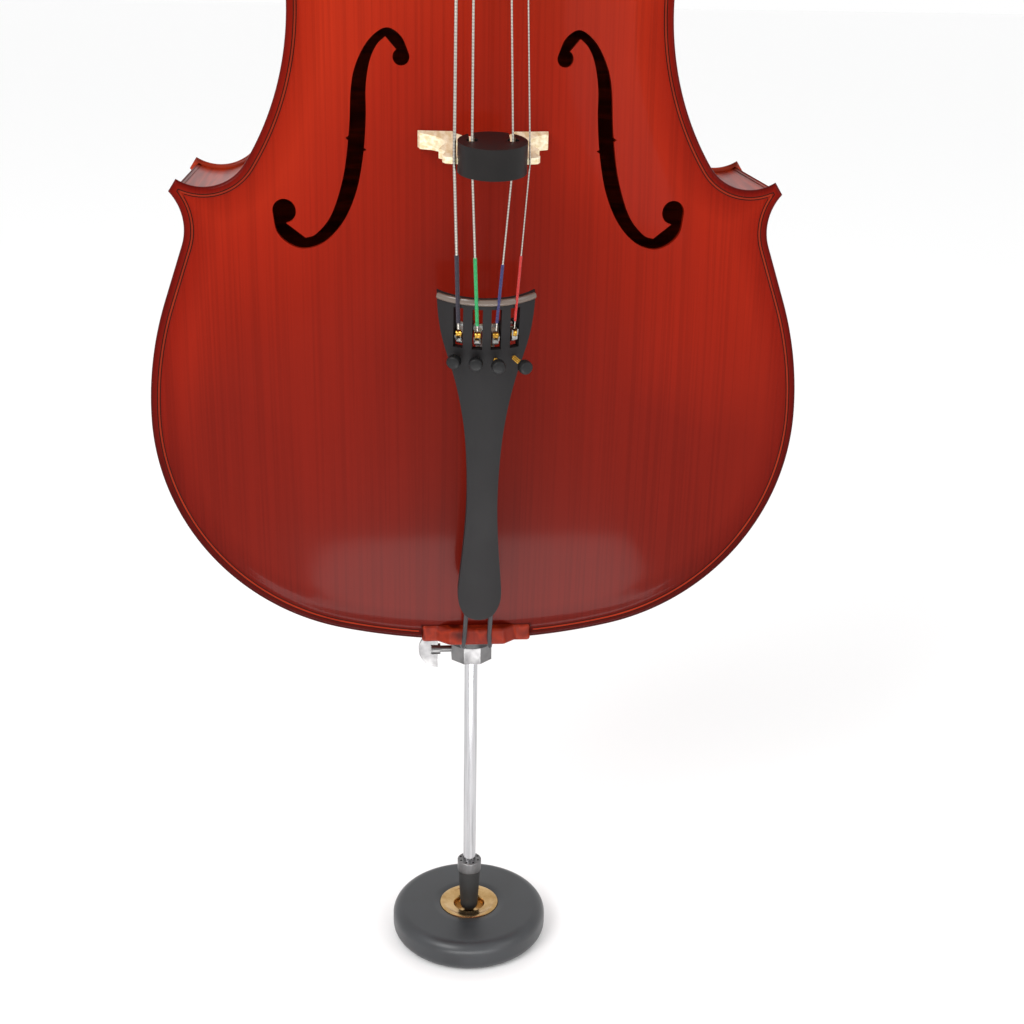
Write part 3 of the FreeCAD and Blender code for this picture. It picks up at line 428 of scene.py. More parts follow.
SPRUCE = varnished_spruce()
BACK_MAPLE = flamed("flamed_maple_back", (7, 40, 130))
RIB_MAPLE = flamed("flamed_maple_ribs", (130, 7, 130))
NECK_MAPLE = flamed("flamed_maple_neck", (12, 12, 130), "#6E1A0C", "#A0300F")
PURFLING_DARK = dark_solid("dyed_black_purfling", "#1B0A07", "#2A100B", rough=0.4, Specular_IOR_Level=0.05)
PURFLING_PALE = dark_solid("poplar_purfling", "#7A2010", "#8E2812", rough=0.4, Specular_IOR_Level=0.05)
RAW_SPRUCE = bare_wood("raw_spruce", "#D9BC8E", "#B58F5C", (520, 30, 6))
EBONY = dark_solid("oiled_ebony", "#0D0B0A", "#1B1715", grit=0.5, rough=0.30, Coat_Weight=0.15)
BRIDGE_MAPLE = bare_wood("bare_bridge_maple", "#F6EACB", "#DDC697", (300, 30, 500), rough=0.5)
MUTE_RUBBER = dark_solid("moulded_black_rubber", "#0F0D0D", "#1A1716", rough=0.45, Specular_IOR_Level=0.2)
COMPOSITE = dark_solid("matt_black_composite", "#121011", "#1B191A", grit=0.45, rough=0.6, depth=0.05,
                       Specular_IOR_Level=0.25)
# The ridge is the tailpiece's composite: its lighter brown-grey colour is a painted highlight, while its coat
# and lower roughness are a real polish.
RIDGE_PAINTED_HIGHLIGHT = dark_solid("polished_ridge_painted_highlight", "#58493F", "#685A50", rough=0.3, Coat_Weight=0.3)
KNOB_BLACK = dark_solid("black_anodised_aluminium", "#0C0C0D", "#171718", rough=0.4, Specular_IOR_Level=0.25)
TUNER_BRASS = bright_metal("turned_brass", "#C99B45", "#96702C", 0.22)
TUNER_STEEL = bright_metal("stamped_steel", "#A8A8A6", "#7E7E7C", 0.30)
CUP_BRASS = bright_metal("gold_plated_brass", "#C9A878", "#A6824E", 0.16)
CHROME = bright_metal("chromed_steel", "#7C7B7B", "#666566", 0.3)
ROD_STEEL = bright_metal("drawn_stainless_steel", "#C4C4C6", "#98989B", 0.14, repeats=(500, 500, 14))
TAIL_CORD = dark_solid("black_tailgut_cord", "#141416", "#26262A", grit=0.5, rough=0.4)
PLUG_BLACK = dark_solid("black_moulded_plug", "#0F0F10", "#1D1D1F", rough=0.32)
TIP_RUBBER = dark_solid("black_tip_rubber", "#161616", "#262626", rough=0.55, depth=0.05)
REST_RUBBER = dark_solid("satin_black_rubber", "#232426", "#303235", grit=0.6, rough=0.34, depth=0.03)
# The saddle is varnished a darker red than the body.
SADDLE_RED = flamed("dark_red_varnished_saddle", (60, 60, 40), "#4A1008", "#6E1C0E")
STRING_STEEL = wound_steel()
SILK = {"c": silk("purple_black_silk", "#20192C", "#120D1A"), "g": silk("green_silk", "#1FA05A", "#0C6C3A"),
        "d": silk("blue_violet_silk", "#2B2A63", "#181742"), "a": silk("red_silk", "#C2231F", "#8A1210")}


# ---------------------------------------------------------------- the body's outline

def arc(centre, radius, start, end):
    """Points of an arc, angles in degrees from +x towards +z."""
    count = max(3, int(abs(math.radians(end - start)) * radius / 1.0))
    a = np.radians(np.linspace(start, end, count))
    return np.stack([centre[0] + radius * np.cos(a), centre[1] + radius * np.sin(a)], axis=1)


def heading(a, b):
    """The direction from a to b, in degrees from +x towards +z."""
    return math.degrees(math.atan2(b[1] - a[1], b[0] - a[0]))


def bout(half, widest, end_r, end, side_r, neck, corner, up):
    """Half of one bout, from the middle of the body's end to the corner's outer tip."""
    drop = end_r - abs(widest - end)
    small = (end_r ** 2 - half ** 2 - drop ** 2) / (2 * (end_r - half))
    middle = (0.0, end + up * end_r)
    shoulder = (half - small, widest)
    side = (half - side_r, widest)
    turn = (neck[0] + neck[2], neck[1])
    meet = heading(middle, shoulder)
    lean = heading(side, turn) - up * math.degrees(math.acos((side_r + neck[2]) / math.dist(side, turn)))
    tip = 180 - math.degrees(math.asin((corner - neck[1]) / neck[2]))
    return np.vstack([arc(middle, end_r, -90 * up, meet), arc(shoulder, small, meet, 0),
                      arc(side, side_r, 0, lean), arc(turn, neck[2], lean + 180, tip)])


def c_bout(hook, waist_r, up):
    """Half a C-bout, from the corner's inner tip to the narrowest place."""
    across = WAIST_HALF + waist_r - hook[0]
    along = abs(WAIST_Z - hook[1])
    radius = (waist_r ** 2 - across ** 2 - along ** 2) / (2 * (waist_r - along))
    centre = (hook[0], hook[1] + up * radius)
    waist = (WAIST_HALF + waist_r, WAIST_Z)
    tip = -up * (90 - math.degrees(math.asin((hook[2] - hook[0]) / radius)))
    meet = heading(waist, centre)
    return np.vstack([arc(centre, radius, tip, meet), arc(waist, waist_r, meet % 360, 180)])


def outline_runs():
    """The right-hand half of the outline as runs between corners, bottom to top."""
    lower = bout(**LOWER_BOUT)
    upper = bout(**UPPER_BOUT)[::-1]
    low = c_bout(LOWER_HOOK, WAIST_LOW_R, 1)
    high = c_bout(UPPER_HOOK, WAIST_HIGH_R, -1)[::-1]
    waist = np.vstack([low, high])
    return [lower, np.vstack([lower[-1], waist[0]]), waist, np.vstack([waist[-1], upper[0]]), upper]


def whole_outline():
    """The closed outline, anticlockwise from the bottom, and where each tip's middle comes in it."""
    right = [even(run, OUTLINE_STEP) for run in outline_runs()]
    counts = np.cumsum([len(run) - 1 for run in right])
    half = np.vstack([run[:-1] for run in right] + [right[-1][-1:]])
    left = half[::-1][1:-1] * [-1, 1]
    n = len(half) + len(left)
    tips = [(counts[0] + counts[1]) // 2, (counts[2] + counts[3]) // 2]
    return np.vstack([half, left]), tips + [n - tips[1], n - tips[0]]


OUTLINE, TIPS = whole_outline()


def moved_in(line, distance):
    """A closed line moved inwards, mitred at its corners."""
    ahead = np.roll(line, -1, axis=0) - line
    ahead /= np.linalg.norm(ahead, axis=1)[:, None]
    inward = np.stack([-ahead[:, 1], ahead[:, 0]], axis=1)
    before = np.roll(inward, 1, axis=0)
    both = inward + before
    return line + distance * both / (1 + (inward * before).sum(1))[:, None]


def from_edge(points):
    """How far each point is from the outline, in millimetres."""
    a = OUTLINE
    b = np.roll(OUTLINE, -1, axis=0) - a
    length = (b ** 2).sum(1)
    out = []
    for chunk in np.array_split(np.asarray(points, float), max(1, len(points) // 2000)):
        t = np.clip(((chunk[:, None] - a) * b).sum(2) / length, 0, 1)
        out.append(np.sqrt((((chunk[:, None] - a) - t[..., None] * b) ** 2).sum(2).min(1)))
    return np.concatenate(out)


# Half-width of the arched area, bottom to top: it passes the corners by
ARCH_WIDTH = [(-20, 60), (10, 85), (25, 118), (50, 155), (90, 188), (130, 203), (167, 208), (205, 204),
              (250, 189), (300, 161), (350, 129), (395, 113), (436, 109), (475, 112), (520, 125),
              (570, 147), (610, 158), (648, 161), (685, 155), (715, 138), (740, 98), (775, 55)]


def arch_width(z):
    """The half-width above, its bends eased over about 20 mm."""
    fine = np.arange(-80, 840, 2.0)
    knots = np.array(ARCH_WIDTH, float)
    rough = np.interp(fine, knots[:, 0], knots[:, 1])
    weight = np.exp(-(np.arange(-40, 41, 2.0) / 14) ** 2)
    eased = np.convolve(np.pad(rough, 20, "edge"), weight / weight.sum(), "valid")
    return np.interp(z, fine, eased)


def arch(points):
    """How far the arching stands above the flat edge at each (x, z)."""
    x, z = np.asarray(points, float).T
    along = np.clip((z - ARCH_MARGIN) / (BODY_LENGTH - 2 * ARCH_MARGIN), 0, 1)
    across = np.clip(np.abs(x) / arch_width(z), 0, 1)
    return ARCH * (1 - np.abs(2 * along - 1) ** 2.8) ** 1.3 * (1 + np.cos(np.pi * across ** 1.5)) / 2


def skin(points, distance=None):
    """Height of a plate's outer face over its inner edge plane: edge, channel and arch."""
    distance = from_edge(points) if distance is None else distance
    return PLATE_T + arch(points) - FLUTE * np.exp(-((distance - FLUTE_AT) / 3.6) ** 2)


# ---------------------------------------------------------------- f-holes

F_UPPER_EYE = (51.0, 403.5, 5.2)
F_LOWER_EYE = (126.5, 306.8, 7.6)
F_OUTER = [(46.3, 406.0), (51.0, 415.8), (60.0, 420.6), (70.5, 413.5), (78.4, 400.0), (82.2, 385.0),
           (84.0, 358.0), (88.0, 330.0), (96.0, 306.0), (106.0, 293.5), (113.0, 290.6)]
F_INNER = [(134.0, 305.5), (131.5, 293.5), (123.5, 286.0), (113.0, 283.7), (100.0, 289.0), (88.0, 302.5),
           (79.5, 322.0), (75.0, 345.0), (73.2, 367.0), (73.0, 385.0), (70.5, 400.0), (66.0, 410.0),
           (60.5, 415.3)]
F_NICKS = [[(83.0, 355.6), (86.4, 353.6), (83.6, 351.4)], [(76.0, 348.8), (72.8, 346.8), (76.6, 344.8)]]


def anticlockwise(loop):
    """The same loop, turned to run anticlockwise."""
    x, z = loop.T
    area = np.sum(x * np.roll(z, -1) - np.roll(x, -1) * z)
    return loop if area > 0 else loop[::-1]


def f_hole():
    """The right-hand f-hole as flat outlines that overlap: its band, two eyes and two nicks."""
    band = np.vstack([curve_through(F_OUTER), [(125.3, 299.2), (126.5, 306.8)],
                      curve_through(F_INNER), [(54.0, 408.0), (51.0, 403.5)]])
    eyes = [arc((x, z), r, 0, 360)[:-1] for x, z, r in (F_UPPER_EYE, F_LOWER_EYE)]
    return [anticlockwise(loop) for loop in [band] + eyes + [np.array(nick) for nick in F_NICKS]]


# ---------------------------------------------------------------- plates, purfling and ribs

def plate(name, side, edge_y, finish, holes):
    """An arched plate with a rounded edge, a channel inside it and any holes cut through."""
    rim = moved_in(OUTLINE, EDGE_FLAT)
    loops = [rim] + holes
    points = [p for loop in loops for p in loop]
    starts = np.cumsum([0] + [len(loop) for loop in loops])
    areas = [list(range(a, b)) for a, b in zip(starts, starts[1:])]
    for distance in (3.6, 4.9, 6.3, 8.0, 10.0, 12.5, 15.5):
        ring = moved_in(OUTLINE, distance)
        clear = from_edge(ring) > distance - 0.05
        points += list(ring[clear][::1 if distance < 9 else 2])
    rows = np.arange(4, BODY_LENGTH, 4.4)
    grid = [(x + (k % 2) * 2.5, z) for k, z in enumerate(rows) for x in np.arange(-220, 221, 5.0)]
    grid = np.array(grid)
    keep = in_outline(grid) & (from_edge(grid) > 18)
    points += list(grid[keep])
    made = geometry.delaunay_2d_cdt([Vector(p) for p in points], [], areas, 0, 1e-4)
    flat = np.array([(v.x, v.y) for v in made[0]])
    kept = [f for f, owners in zip(made[2], made[5]) if 0 in owners and not any(o > 0 for o in owners)]
    used = sorted({i for f in kept for i in f})
    order = {old: new for new, old in enumerate(used)}
    flat = flat[used]
    kept = [tuple(order[i] for i in f) for f in kept]
    distance = from_edge(flat)
    top = skin(flat, distance)
    under = arch(flat) * (distance > EDGE_FLAT + 0.3)
    n = len(flat)
    outer = [(x, edge_y + side * y, z) for (x, z), y in zip(flat, top)]
    inner = [(x, edge_y + side * y, z) for (x, z), y in zip(flat, under)]
    faces = kept + [tuple(i + n for i in f[::-1]) for f in kept]
    edges = {}
    for f in kept:
        for a, b in zip(f, f[1:] + f[:1]):
            edges[(a, b)] = edges.get((a, b), 0) + 1
    border = [(a, b) for a, b in edges if (b, a) not in edges]
    rim_of = {}
    for old, owners in enumerate(made[3]):
        first = min((o for o in owners if o < len(rim)), default=None)
        if first is not None and old in order:
            rim_of[order[old]] = first
    points3 = outer + inner
    walls = [(a, b) for a, b in border if not (a in rim_of and b in rim_of)]
    faces += [(b, a, a + n, b + n) for a, b in walls]
    lips = [(1.4, 0.22), (0.65, 0.75), (0.18, 1.5), (0.0, 2.35), (0.15, 3.1), (0.6, 3.75), (1.4, 4.3)]
    start = len(points3)
    rim_top = {k: i for i, k in rim_of.items()}
    count = len(rim)
    rim_skin = skin(rim)
    for inset, down in lips:
        ring = moved_in(OUTLINE, inset)
        height = PLATE_T - down + (rim_skin - PLATE_T) * (1 - down / PLATE_T)
        points3 += [(x, edge_y + side * y, z) for (x, z), y in zip(ring, height)]
    for k in range(count):
        j = (k + 1) % count
        column_a = [rim_top[k]] + [start + r * count + k for r in range(len(lips))] + [rim_top[k] + n]
        column_b = [rim_top[j]] + [start + r * count + j for r in range(len(lips))] + [rim_top[j] + n]
        faces += [(column_a[r], column_b[r], column_b[r + 1], column_a[r + 1]) for r in range(len(lips) + 1)]
    made_piece = piece(name, points3, faces, finish)
    tag = made_piece.data.attributes.new("from_edge", "FLOAT", "POINT")
    spread = np.concatenate([distance, distance] + [np.full(count, inset) for inset, _ in lips])
    tag.data.foreach_set("value", spread.astype(np.float32))
    return made_piece


def in_outline(points):
    """True for each point inside the outline."""
    x, z = np.asarray(points, float).T
    a = OUTLINE
    b = np.roll(OUTLINE, -1, axis=0)
    hit = np.zeros(len(x), bool)
    for (x0, z0), (x1, z1) in zip(a, b):
        if z0 == z1:
            continue
        cross = ((z0 > z) != (z1 > z)) & (x < (x1 - x0) * (z - z0) / (z1 - z0) + x0)
        hit ^= cross
    return hit


def strip(line_a, line_b, side, edge_y, closed):
    """An inlaid strip between two lines, let into a plate's face."""
    count = len(line_a)
    high_a = skin(line_a) + STRIP_PROUD
    high_b = skin(line_b) + STRIP_PROUD
    rings = [[(x, edge_y + side * y, z) for (x, z), y in zip(line, high)]
             for line, high in ((line_a, high_a), (line_b, high_b),
                                (line_b, high_b - STRIP_DEPTH), (line_a, high_a - STRIP_DEPTH))]
    points = [p for ring in rings for p in ring]
    last = count if closed else count - 1
    faces = []
    for k in range(last):
        j = (k + 1) % count
        for here in range(4):
            after = (here + 1) % 4
            faces.append((here * count + k, here * count + j, after * count + j, after * count + k))
    if not closed:
        faces += [tuple(r * count for r in range(4)), tuple(r * count + count - 1 for r in range(4))[::-1]]
    return points, faces


def merged_shapes(shapes):
    """Several shapes' points and faces as one list of each."""
    points, faces = [], []
    for more, loops in shapes:
        base = len(points)
        points += list(more)
        faces += [tuple(i + base for i in f) for f in loops]
    return points, faces


def purfling(face, side, edge_y, gaps):
    """Three inlaid strips, dark, pale and dark. On the front they stop at the saddle and at the neck."""
    node = face + "_purfling"
    dark, pale = [], []
    for name, near, far in PURFLING_LINES:
        a = moved_in(OUTLINE, near)
        b = moved_in(OUTLINE, far)
        good = from_edge(a) > near - 0.02
        good &= from_edge(b) > far - 0.35
        a, b = a[good], b[good]
        runs = [(a, b, True)]
        if gaps:
            aside = np.abs(a[:, 0])
            at_saddle = (aside < 39.5) & (a[:, 1] < 30)
            at_neck = (aside < 22.5) & (a[:, 1] > 700)
            free = ~at_saddle & ~at_neck
            right = free & (a[:, 0] > 0)
            left = free & (a[:, 0] < 0)
            runs = [(a[right], b[right], False), (a[left], b[left], False)]
        for line_a, line_b, closed in runs:
            (pale if name == "pale" else dark).append(strip(line_a, line_b, side, edge_y, closed))
    main = piece(node + "_dark", *merged_shapes(dark), PURFLING_DARK, smooth=False)
    settle(main, "cello", "dark_purfling", node)
    settle(piece(node + "_pale", *merged_shapes(pale), PURFLING_PALE, smooth=False), "cello", "dark_purfling")


def cut_away(made, cutter_points, cutter_faces):
    """Takes a plain closed shape out of a piece."""
    tool = piece("cutter", cutter_points, cutter_faces, SPRUCE, smooth=False)
    cut = made.modifiers.new("cut", "BOOLEAN")
    cut.operation = "DIFFERENCE"
    cut.solver = "EXACT"
    cut.object = tool
    baked(made)
    bpy.data.objects.remove(tool)
    return made


def block(x0, x1, y0, y1, z0, z1):
    """Points and faces of a plain cutting block."""
    points = [(x, y, z) for z in (z0, z1) for x, y in ((x0, y0), (x1, y0), (x1, y1), (x0, y1))]
    return points, [(3, 2, 1, 0), (4, 5, 6, 7)] + [(i, (i + 1) % 4, 4 + (i + 1) % 4, 4 + i) for i in range(4)]


SADDLE_NOTCH = (-38.8, 38.8, -40, 12, -9, 11.8)
NECK_NOTCH = (-22.1, 22.1, -40, 12, 744.2, 790)


def front_plate():
    """The belly: both f-holes are cut through it, and it is notched for the saddle and the neck's root."""
    right = f_hole()
    left = [loop[::-1] * [-1, 1] for loop in right]
    made = plate("front_plate_carved", -1, 0.0, SPRUCE, right + left)
    cut_away(made, *block(*SADDLE_NOTCH))
    cut_away(made, *block(*NECK_NOTCH))
    made.data.shade_smooth()
    made.data.set_sharp_from_angle(angle=math.radians(40))
    settle(made, "cello", "varnished_spruce", "front_plate")


def back_plate():
    """The back, with the round button that the neck's heel is glued to."""
    made = plate("back_plate_carved", 1, RIB_DEPTH, BACK_MAPLE, [])
    settle(made, "cello", "varnished_maple", "back_plate")
    profile = [(13.6, 0.0), (14.7, 0.7), (15.0, 2.2), (14.6, 3.9), (13.4, 4.5)]
    points, faces = lathe(profile, 48)
    points = [(x, RIB_DEPTH + h, BODY_LENGTH + 1 + z) for x, z, h in points]
    settle(piece("back_button", points, faces, BACK_MAPLE), "cello", "varnished_maple")


def ribs():
    """Six bent ribs, mitred at the corners. Each stands between the middles of two tips or an end."""
    outer = moved_in(OUTLINE, OVERHANG)
    inner = moved_in(OUTLINE, OVERHANG + RIB_T)
    count = len(OUTLINE)
    top = int(np.argmax(OUTLINE[:, 1]))
    spans = {"rib_lower_right": (0, TIPS[0]), "rib_waist_right": (TIPS[0], TIPS[1]),
             "rib_upper_right": (TIPS[1], top), "rib_upper_left": (top, TIPS[2]),
             "rib_waist_left": (TIPS[2], TIPS[3]), "rib_lower_left": (TIPS[3], count)}
    for name, (a, b) in spans.items():
        at = np.arange(a, b + 1) % count
        rings = []
        for k in at:
            (xo, zo), (xi, zi) = outer[k], inner[k]
            rings.append([(xo, 0.0, zo), (xo, RIB_DEPTH, zo), (xi, RIB_DEPTH, zi), (xi, 0.0, zi)])
        made = piece(name + "_bent", *loft(rings), RIB_MAPLE)
        settle(made, "cello", "varnished_maple", name)


front_plate()
back_plate()
ribs()
purfling("front", -1, 0.0, True)
purfling("back", 1, RIB_DEPTH, False)

for name in ("linings_front", "linings_back", "corner_blocks", "upper_block", "lower_block", "bass_bar",
             "sound_post"):
    inside = frame["nodes"][name].data
    inside.materials.clear()
    inside.materials.append(RAW_SPRUCE)


# ---------------------------------------------------------------- wound thread

def wrap_tree():
    """Geometry nodes: one round thread wound round an upright axis, with closed ends."""
    tree = bpy.data.node_groups.new("wound_thread", "GeometryNodeTree")
    tree.interface.new_socket("Geometry", in_out="OUTPUT", socket_type="NodeSocketGeometry")
    for label, kind in (("Radius", "Float"), ("Length", "Float"), ("Turns", "Float"), ("Thread", "Float"),
                        ("Steps", "Int"), ("Finish", "Material")):
        tree.interface.new_socket(label, in_out="INPUT", socket_type="NodeSocket" + kind)
    given = add(tree, "NodeGroupInput").outputs
    helix = add(tree, "GeometryNodeCurveSpiral", {
        "Resolution": given["Steps"], "Rotations": given["Turns"], "Start Radius": given["Radius"],
        "End Radius": given["Radius"], "Height": given["Length"]})
    ring = add(tree, "GeometryNodeCurvePrimitiveCircle", {"Resolution": 6, "Radius": given["Thread"]})
    tube = add(tree, "GeometryNodeCurveToMesh", {
        "Curve": helix.outputs["Curve"], "Profile Curve": ring.outputs["Curve"], "Fill Caps": True})
    whole = add(tree, "GeometryNodeRealizeInstances", {"Geometry": tube.outputs["Mesh"]})
    dressed = add(tree, "GeometryNodeSetMaterial", {
        "Geometry": whole.outputs["Geometry"], "Material": given["Finish"]})
    add(tree, "NodeGroupOutput", {"Geometry": dressed.outputs["Geometry"]})
    return tree


WRAPS = wrap_tree()


def wound(name, finish, start, end, radius, thread, pitch, core=None, steps=18):
    """A thread of a given radius wound from start to end over a plain core, all in millimetres."""
    start, end = Vector(start), Vector(end)
    length = (end - start).length
    made = shown(name, bpy.data.meshes.new(name), finish, smooth=False)
    wind = made.modifiers.new("wound", "NODES")
    wind.node_group = WRAPS
    given = {"Radius": radius * MM, "Length": length * MM, "Turns": length / pitch, "Thread": thread * MM,
             "Steps": steps, "Finish": finish}
    for item in WRAPS.interface.items_tree:
        if item.in_out == "INPUT":
            wind[item.identifier] = given[item.name]
    baked(made)
    shape = bmesh.new()
    shape.from_mesh(made.data)
    if core:
        rod = [(core - 0.15, -0.4), (core, -0.2), (core, length + 0.2), (core - 0.15, length + 0.4)]
        points, faces = lathe(rod, 24)
        made_points = [shape.verts.new(Vector(p) * MM) for p in points]
        for face in faces:
            shape.faces.new([made_points[i] for i in face])
    bmesh.ops.recalc_face_normals(shape, faces=shape.faces)
    shape.to_mesh(made.data)
    shape.free()
    turn = (end - start).to_track_quat("Z", "Y").to_matrix().to_4x4()
    made.data.transform(Matrix.Translation(start * MM + HOME) @ turn)
    made.data.shade_smooth()
    made.data.set_sharp_from_angle(angle=math.radians(50))
    return made


# ---------------------------------------------------------------- strings, silk and pegs

STRING_R = {"c": 0.95, "g": 0.75, "d": 0.58, "a": 0.45}
SILK_FROM = {"c": 4.5, "g": 4.0, "d": 6.0, "a": 5.8}
SILK_TO = {"c": 50.8, "g": 50.1, "d": 45.7, "a": 50.1}
SILK_PITCH = 0.55
PEG_SILK = 34.0
BALL_PROFILE = [(1.0, -2.0), (2.1, -1.7), (2.3, -1.2), (1.9, -0.4), (1.9, 0.4), (2.3, 1.2), (2.1, 1.7),
                (1.0, 2.0)]
PEG_R = 6.0


def string_line(name):
    """Where a string's middle passes its fork, the bridge, the nut and its peg."""
    node = frame["nodes"]["string_" + name]
    at = np.array([tuple((node.matrix_world @ v.co - HOME) / MM) for v in node.data.vertices])
    at = at[np.argsort(at[:, 2])]
    groups = np.split(at, np.where(np.diff(at[:, 2]) > 6)[0] + 1)
    return [Vector((g.min(0) + g.max(0)) / 2) for g in groups]


def dress_string(name):
    """Silk over the string's two ends, a ball in the fork, and its turns on the peg."""
    fork, bridge, nut, peg = string_line(name)
    radius = STRING_R[name]
    thread = 0.3
    run = (bridge - fork).normalized()
    over = radius + 0.12
    low = wound("silk_" + name, SILK[name], fork + run * SILK_FROM[name], fork + run * SILK_TO[name],
                over, thread, SILK_PITCH, over + 0.12, 14)
    settle(low, "cello", "wound_steel")
    rise = (peg - nut).normalized()
    silk_run = min(PEG_SILK, (peg - nut).length - 6)
    high = wound("peg_silk_" + name, SILK[name], peg - rise * silk_run, peg - rise * 3,
                 over, thread, SILK_PITCH, over + 0.12, 14)
    settle(high, "cello", "wound_steel")
    ball, faces = lathe(BALL_PROFILE, 24)
    settle(piece("ball_end_" + name, aimed(ball, fork - run * 3.2, (1, 0, 0)), faces, TUNER_BRASS),
           frame["nodes"]["tuner_lever_" + name]["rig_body"], "wound_steel")
    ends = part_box("winding_" + name)
    middle = (ends[0] + ends[1]) / 2
    y, z = ((middle - HOME) / MM).yz
    near, far = [((e - HOME) / MM).x for e in ends]
    turns = wound("winding_" + name + "_wound", SILK[name], (near + radius, y, z), (far - radius, y, z),
                  PEG_R + radius, radius, 2.05 * radius, None, 40)
    settle(turns, frame["nodes"]["winding_" + name]["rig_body"], "wound_steel", "winding_" + name)
    node = frame["nodes"]["string_" + name]
    node.data.materials.clear()
    node.data.materials.append(STRING_STEEL)


PEG_PROFILE = [(5.4, -42.7), (6.0, -42.2), (6.0, -30), (6.0, -15), (6.0, -4), (6.0, -1.0), (6.0, 0.5),
               (8.0, 0.8), (8.7, 1.7), (8.7, 2.7), (8.0, 3.5), (6.3, 4.0), (5.3, 5.2), (4.7, 7.5),
               (4.5, 10.0), (4.9, 12.5), (6.2, 15.0)]
# The head's sections: how far out from the pegbox's middle, half its height and half its thickness
PEG_HEAD = [(33.0, 5.0, 4.2), (35.0, 9.0, 4.6), (38.5, 12.4, 4.2), (43.0, 13.0, 3.4), (48.0, 12.6, 3.1),
            (53.0, 11.0, 3.2), (57.0, 8.4, 3.5), (60.0, 5.0, 3.4)]


def peg(name):
    """A turned shank and collar with a flat heart-shaped head, dished on both faces, and a small bead."""
    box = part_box("peg_" + name)
    low, high = [(corner - HOME) / MM for corner in box]
    side = 1 if high.x > -low.x else -1
    reach = max(high.x, -low.x)
    middle = Vector((0, (low.y + high.y) / 2, (low.z + high.z) / 2))
    points, faces = lathe(PEG_PROFILE, 40)
    shapes = [(aimed(points, middle + Vector((side * 21.8, 0, 0)), (side, 0, 0)), faces)]
    rings = []
    for out, half_z, half_y in PEG_HEAD + [(reach - 0.4, 2.2, 1.8)]:
        ring = []
        for i in range(40):
            a = 2 * math.pi * i / 40
            c, w = math.cos(a), math.sin(a)
            y = half_y * math.copysign(abs(w) ** 0.7, w) * (1 - 0.22 * (1 - abs(c)))
            z = half_z * math.copysign(abs(c) ** 0.9, c)
            ring.append((middle.x + side * out, middle.y + y, middle.z + z))
        rings.append(ring)
    shapes.append(loft(rings))
    made = piece("peg_" + name + "_turned", *merged_shapes(shapes), EBONY)
    settle(made, frame["nodes"]["peg_" + name]["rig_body"], "ebony", "peg_" + name)


for n in STRINGS:
    dress_string(n)
    peg(n)


# ---------------------------------------------------------------- tailpiece and fine tuners

TAIL_TOP = Vector((0, -86.0, 264.5))
TAIL_TILT = math.radians(12.0)
TAIL_R = 43.5
TUNER_ANGLE = {"c": -24.0, "g": -7.8, "d": 7.8, "a": 24.0}
SCREW_OUT = {"c": 2.5, "g": 2.0, "d": 5.5, "a": 11.0}
SCREW_Z = -40.0
KNOB_H = 7.0


def tail(angle, depth, z):
    """A point of the tailpiece: degrees round its arch, how far under its face, and how far below its top."""
    a = math.radians(angle)
    x = (TAIL_R - depth) * math.sin(a)
    y = TAIL_R - (TAIL_R - depth) * math.cos(a)
    t = TAIL_TILT
    return TAIL_TOP + Vector((x, y * math.cos(t) - z * math.sin(t), y * math.sin(t) + z * math.cos(t)))


def tail_ridge():
    """The raised fret across the tailpiece's head, rounded over the top, coloured lighter than the tailpiece
    as a painted highlight.
    """
    section = [(0.6, 0.6), (-0.7, 0.5), (-1.4, -0.4), (-1.6, -1.5), (-1.4, -2.6), (-0.6, -3.4), (0.6, -3.6)]
    rings = [[tuple(tail(angle, depth, z)) for depth, z in section] for angle in np.linspace(-43.4, 43.4, 60)]
    made = piece("tailpiece_ridge", *loft(rings), RIDGE_PAINTED_HIGHLIGHT)
    settle(made, "cello", "dark_composite")


def knob(name):
    """A knurled screw head with a domed top."""
    out = SCREW_OUT[name]
    start, end = (tail(TUNER_ANGLE[name], -d, SCREW_Z) for d in (out, out + KNOB_H))
    profile = [(2.6, 0.0), (3.4, 0.1), (3.7, 0.6), (3.7, 1.2), (4.25, 1.6), (4.4, 2.1), (4.4, 5.3),
               (4.2, 6.1), (3.6, 6.6), (2.4, 6.9), (1.0, KNOB_H)]

    def knurl(a, k):
        """Shallow flutes round the head's straight part."""
        return 1.0 if k < 4 or k > 7 else 1 - 0.035 * (0.5 + 0.5 * math.cos(24 * a))

    points, faces = lathe(profile, 144, wave=knurl)
    made = piece("tuner_knob_" + name + "_turned", aimed(points, start, end - start), faces, KNOB_BLACK)
    settle(made, frame["nodes"]["tuner_knob_" + name]["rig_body"], "black_knob", "tuner_knob_" + name)


def tuner_screw(name):
    """A fine tuner's screw with its thread."""
    out = SCREW_OUT[name]
    start, end = (tail(TUNER_ANGLE[name], -d, SCREW_Z) for d in (out - 0.2, out - 19.0))
    made = wound("tuner_screw_" + name + "_threaded", TUNER_BRASS, start, end, 1.32, 0.17, 0.5, 1.36, 20)
    settle(made, frame["nodes"]["tuner_screw_" + name]["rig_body"], "tuner_brass", "tuner_screw_" + name)


worked("tailpiece", COMPOSITE, "dark_composite", 0.6, segments=3)
worked("tuner_pins", TUNER_STEEL, "tuner_steel", 0)
tail_ridge()
for n in STRINGS:
    worked("tuner_lever_" + n, TUNER_STEEL, "tuner_steel", 0.25)
    knob(n)
    tuner_screw(n)


# ---------------------------------------------------------------- saddle, endpin and floor rest

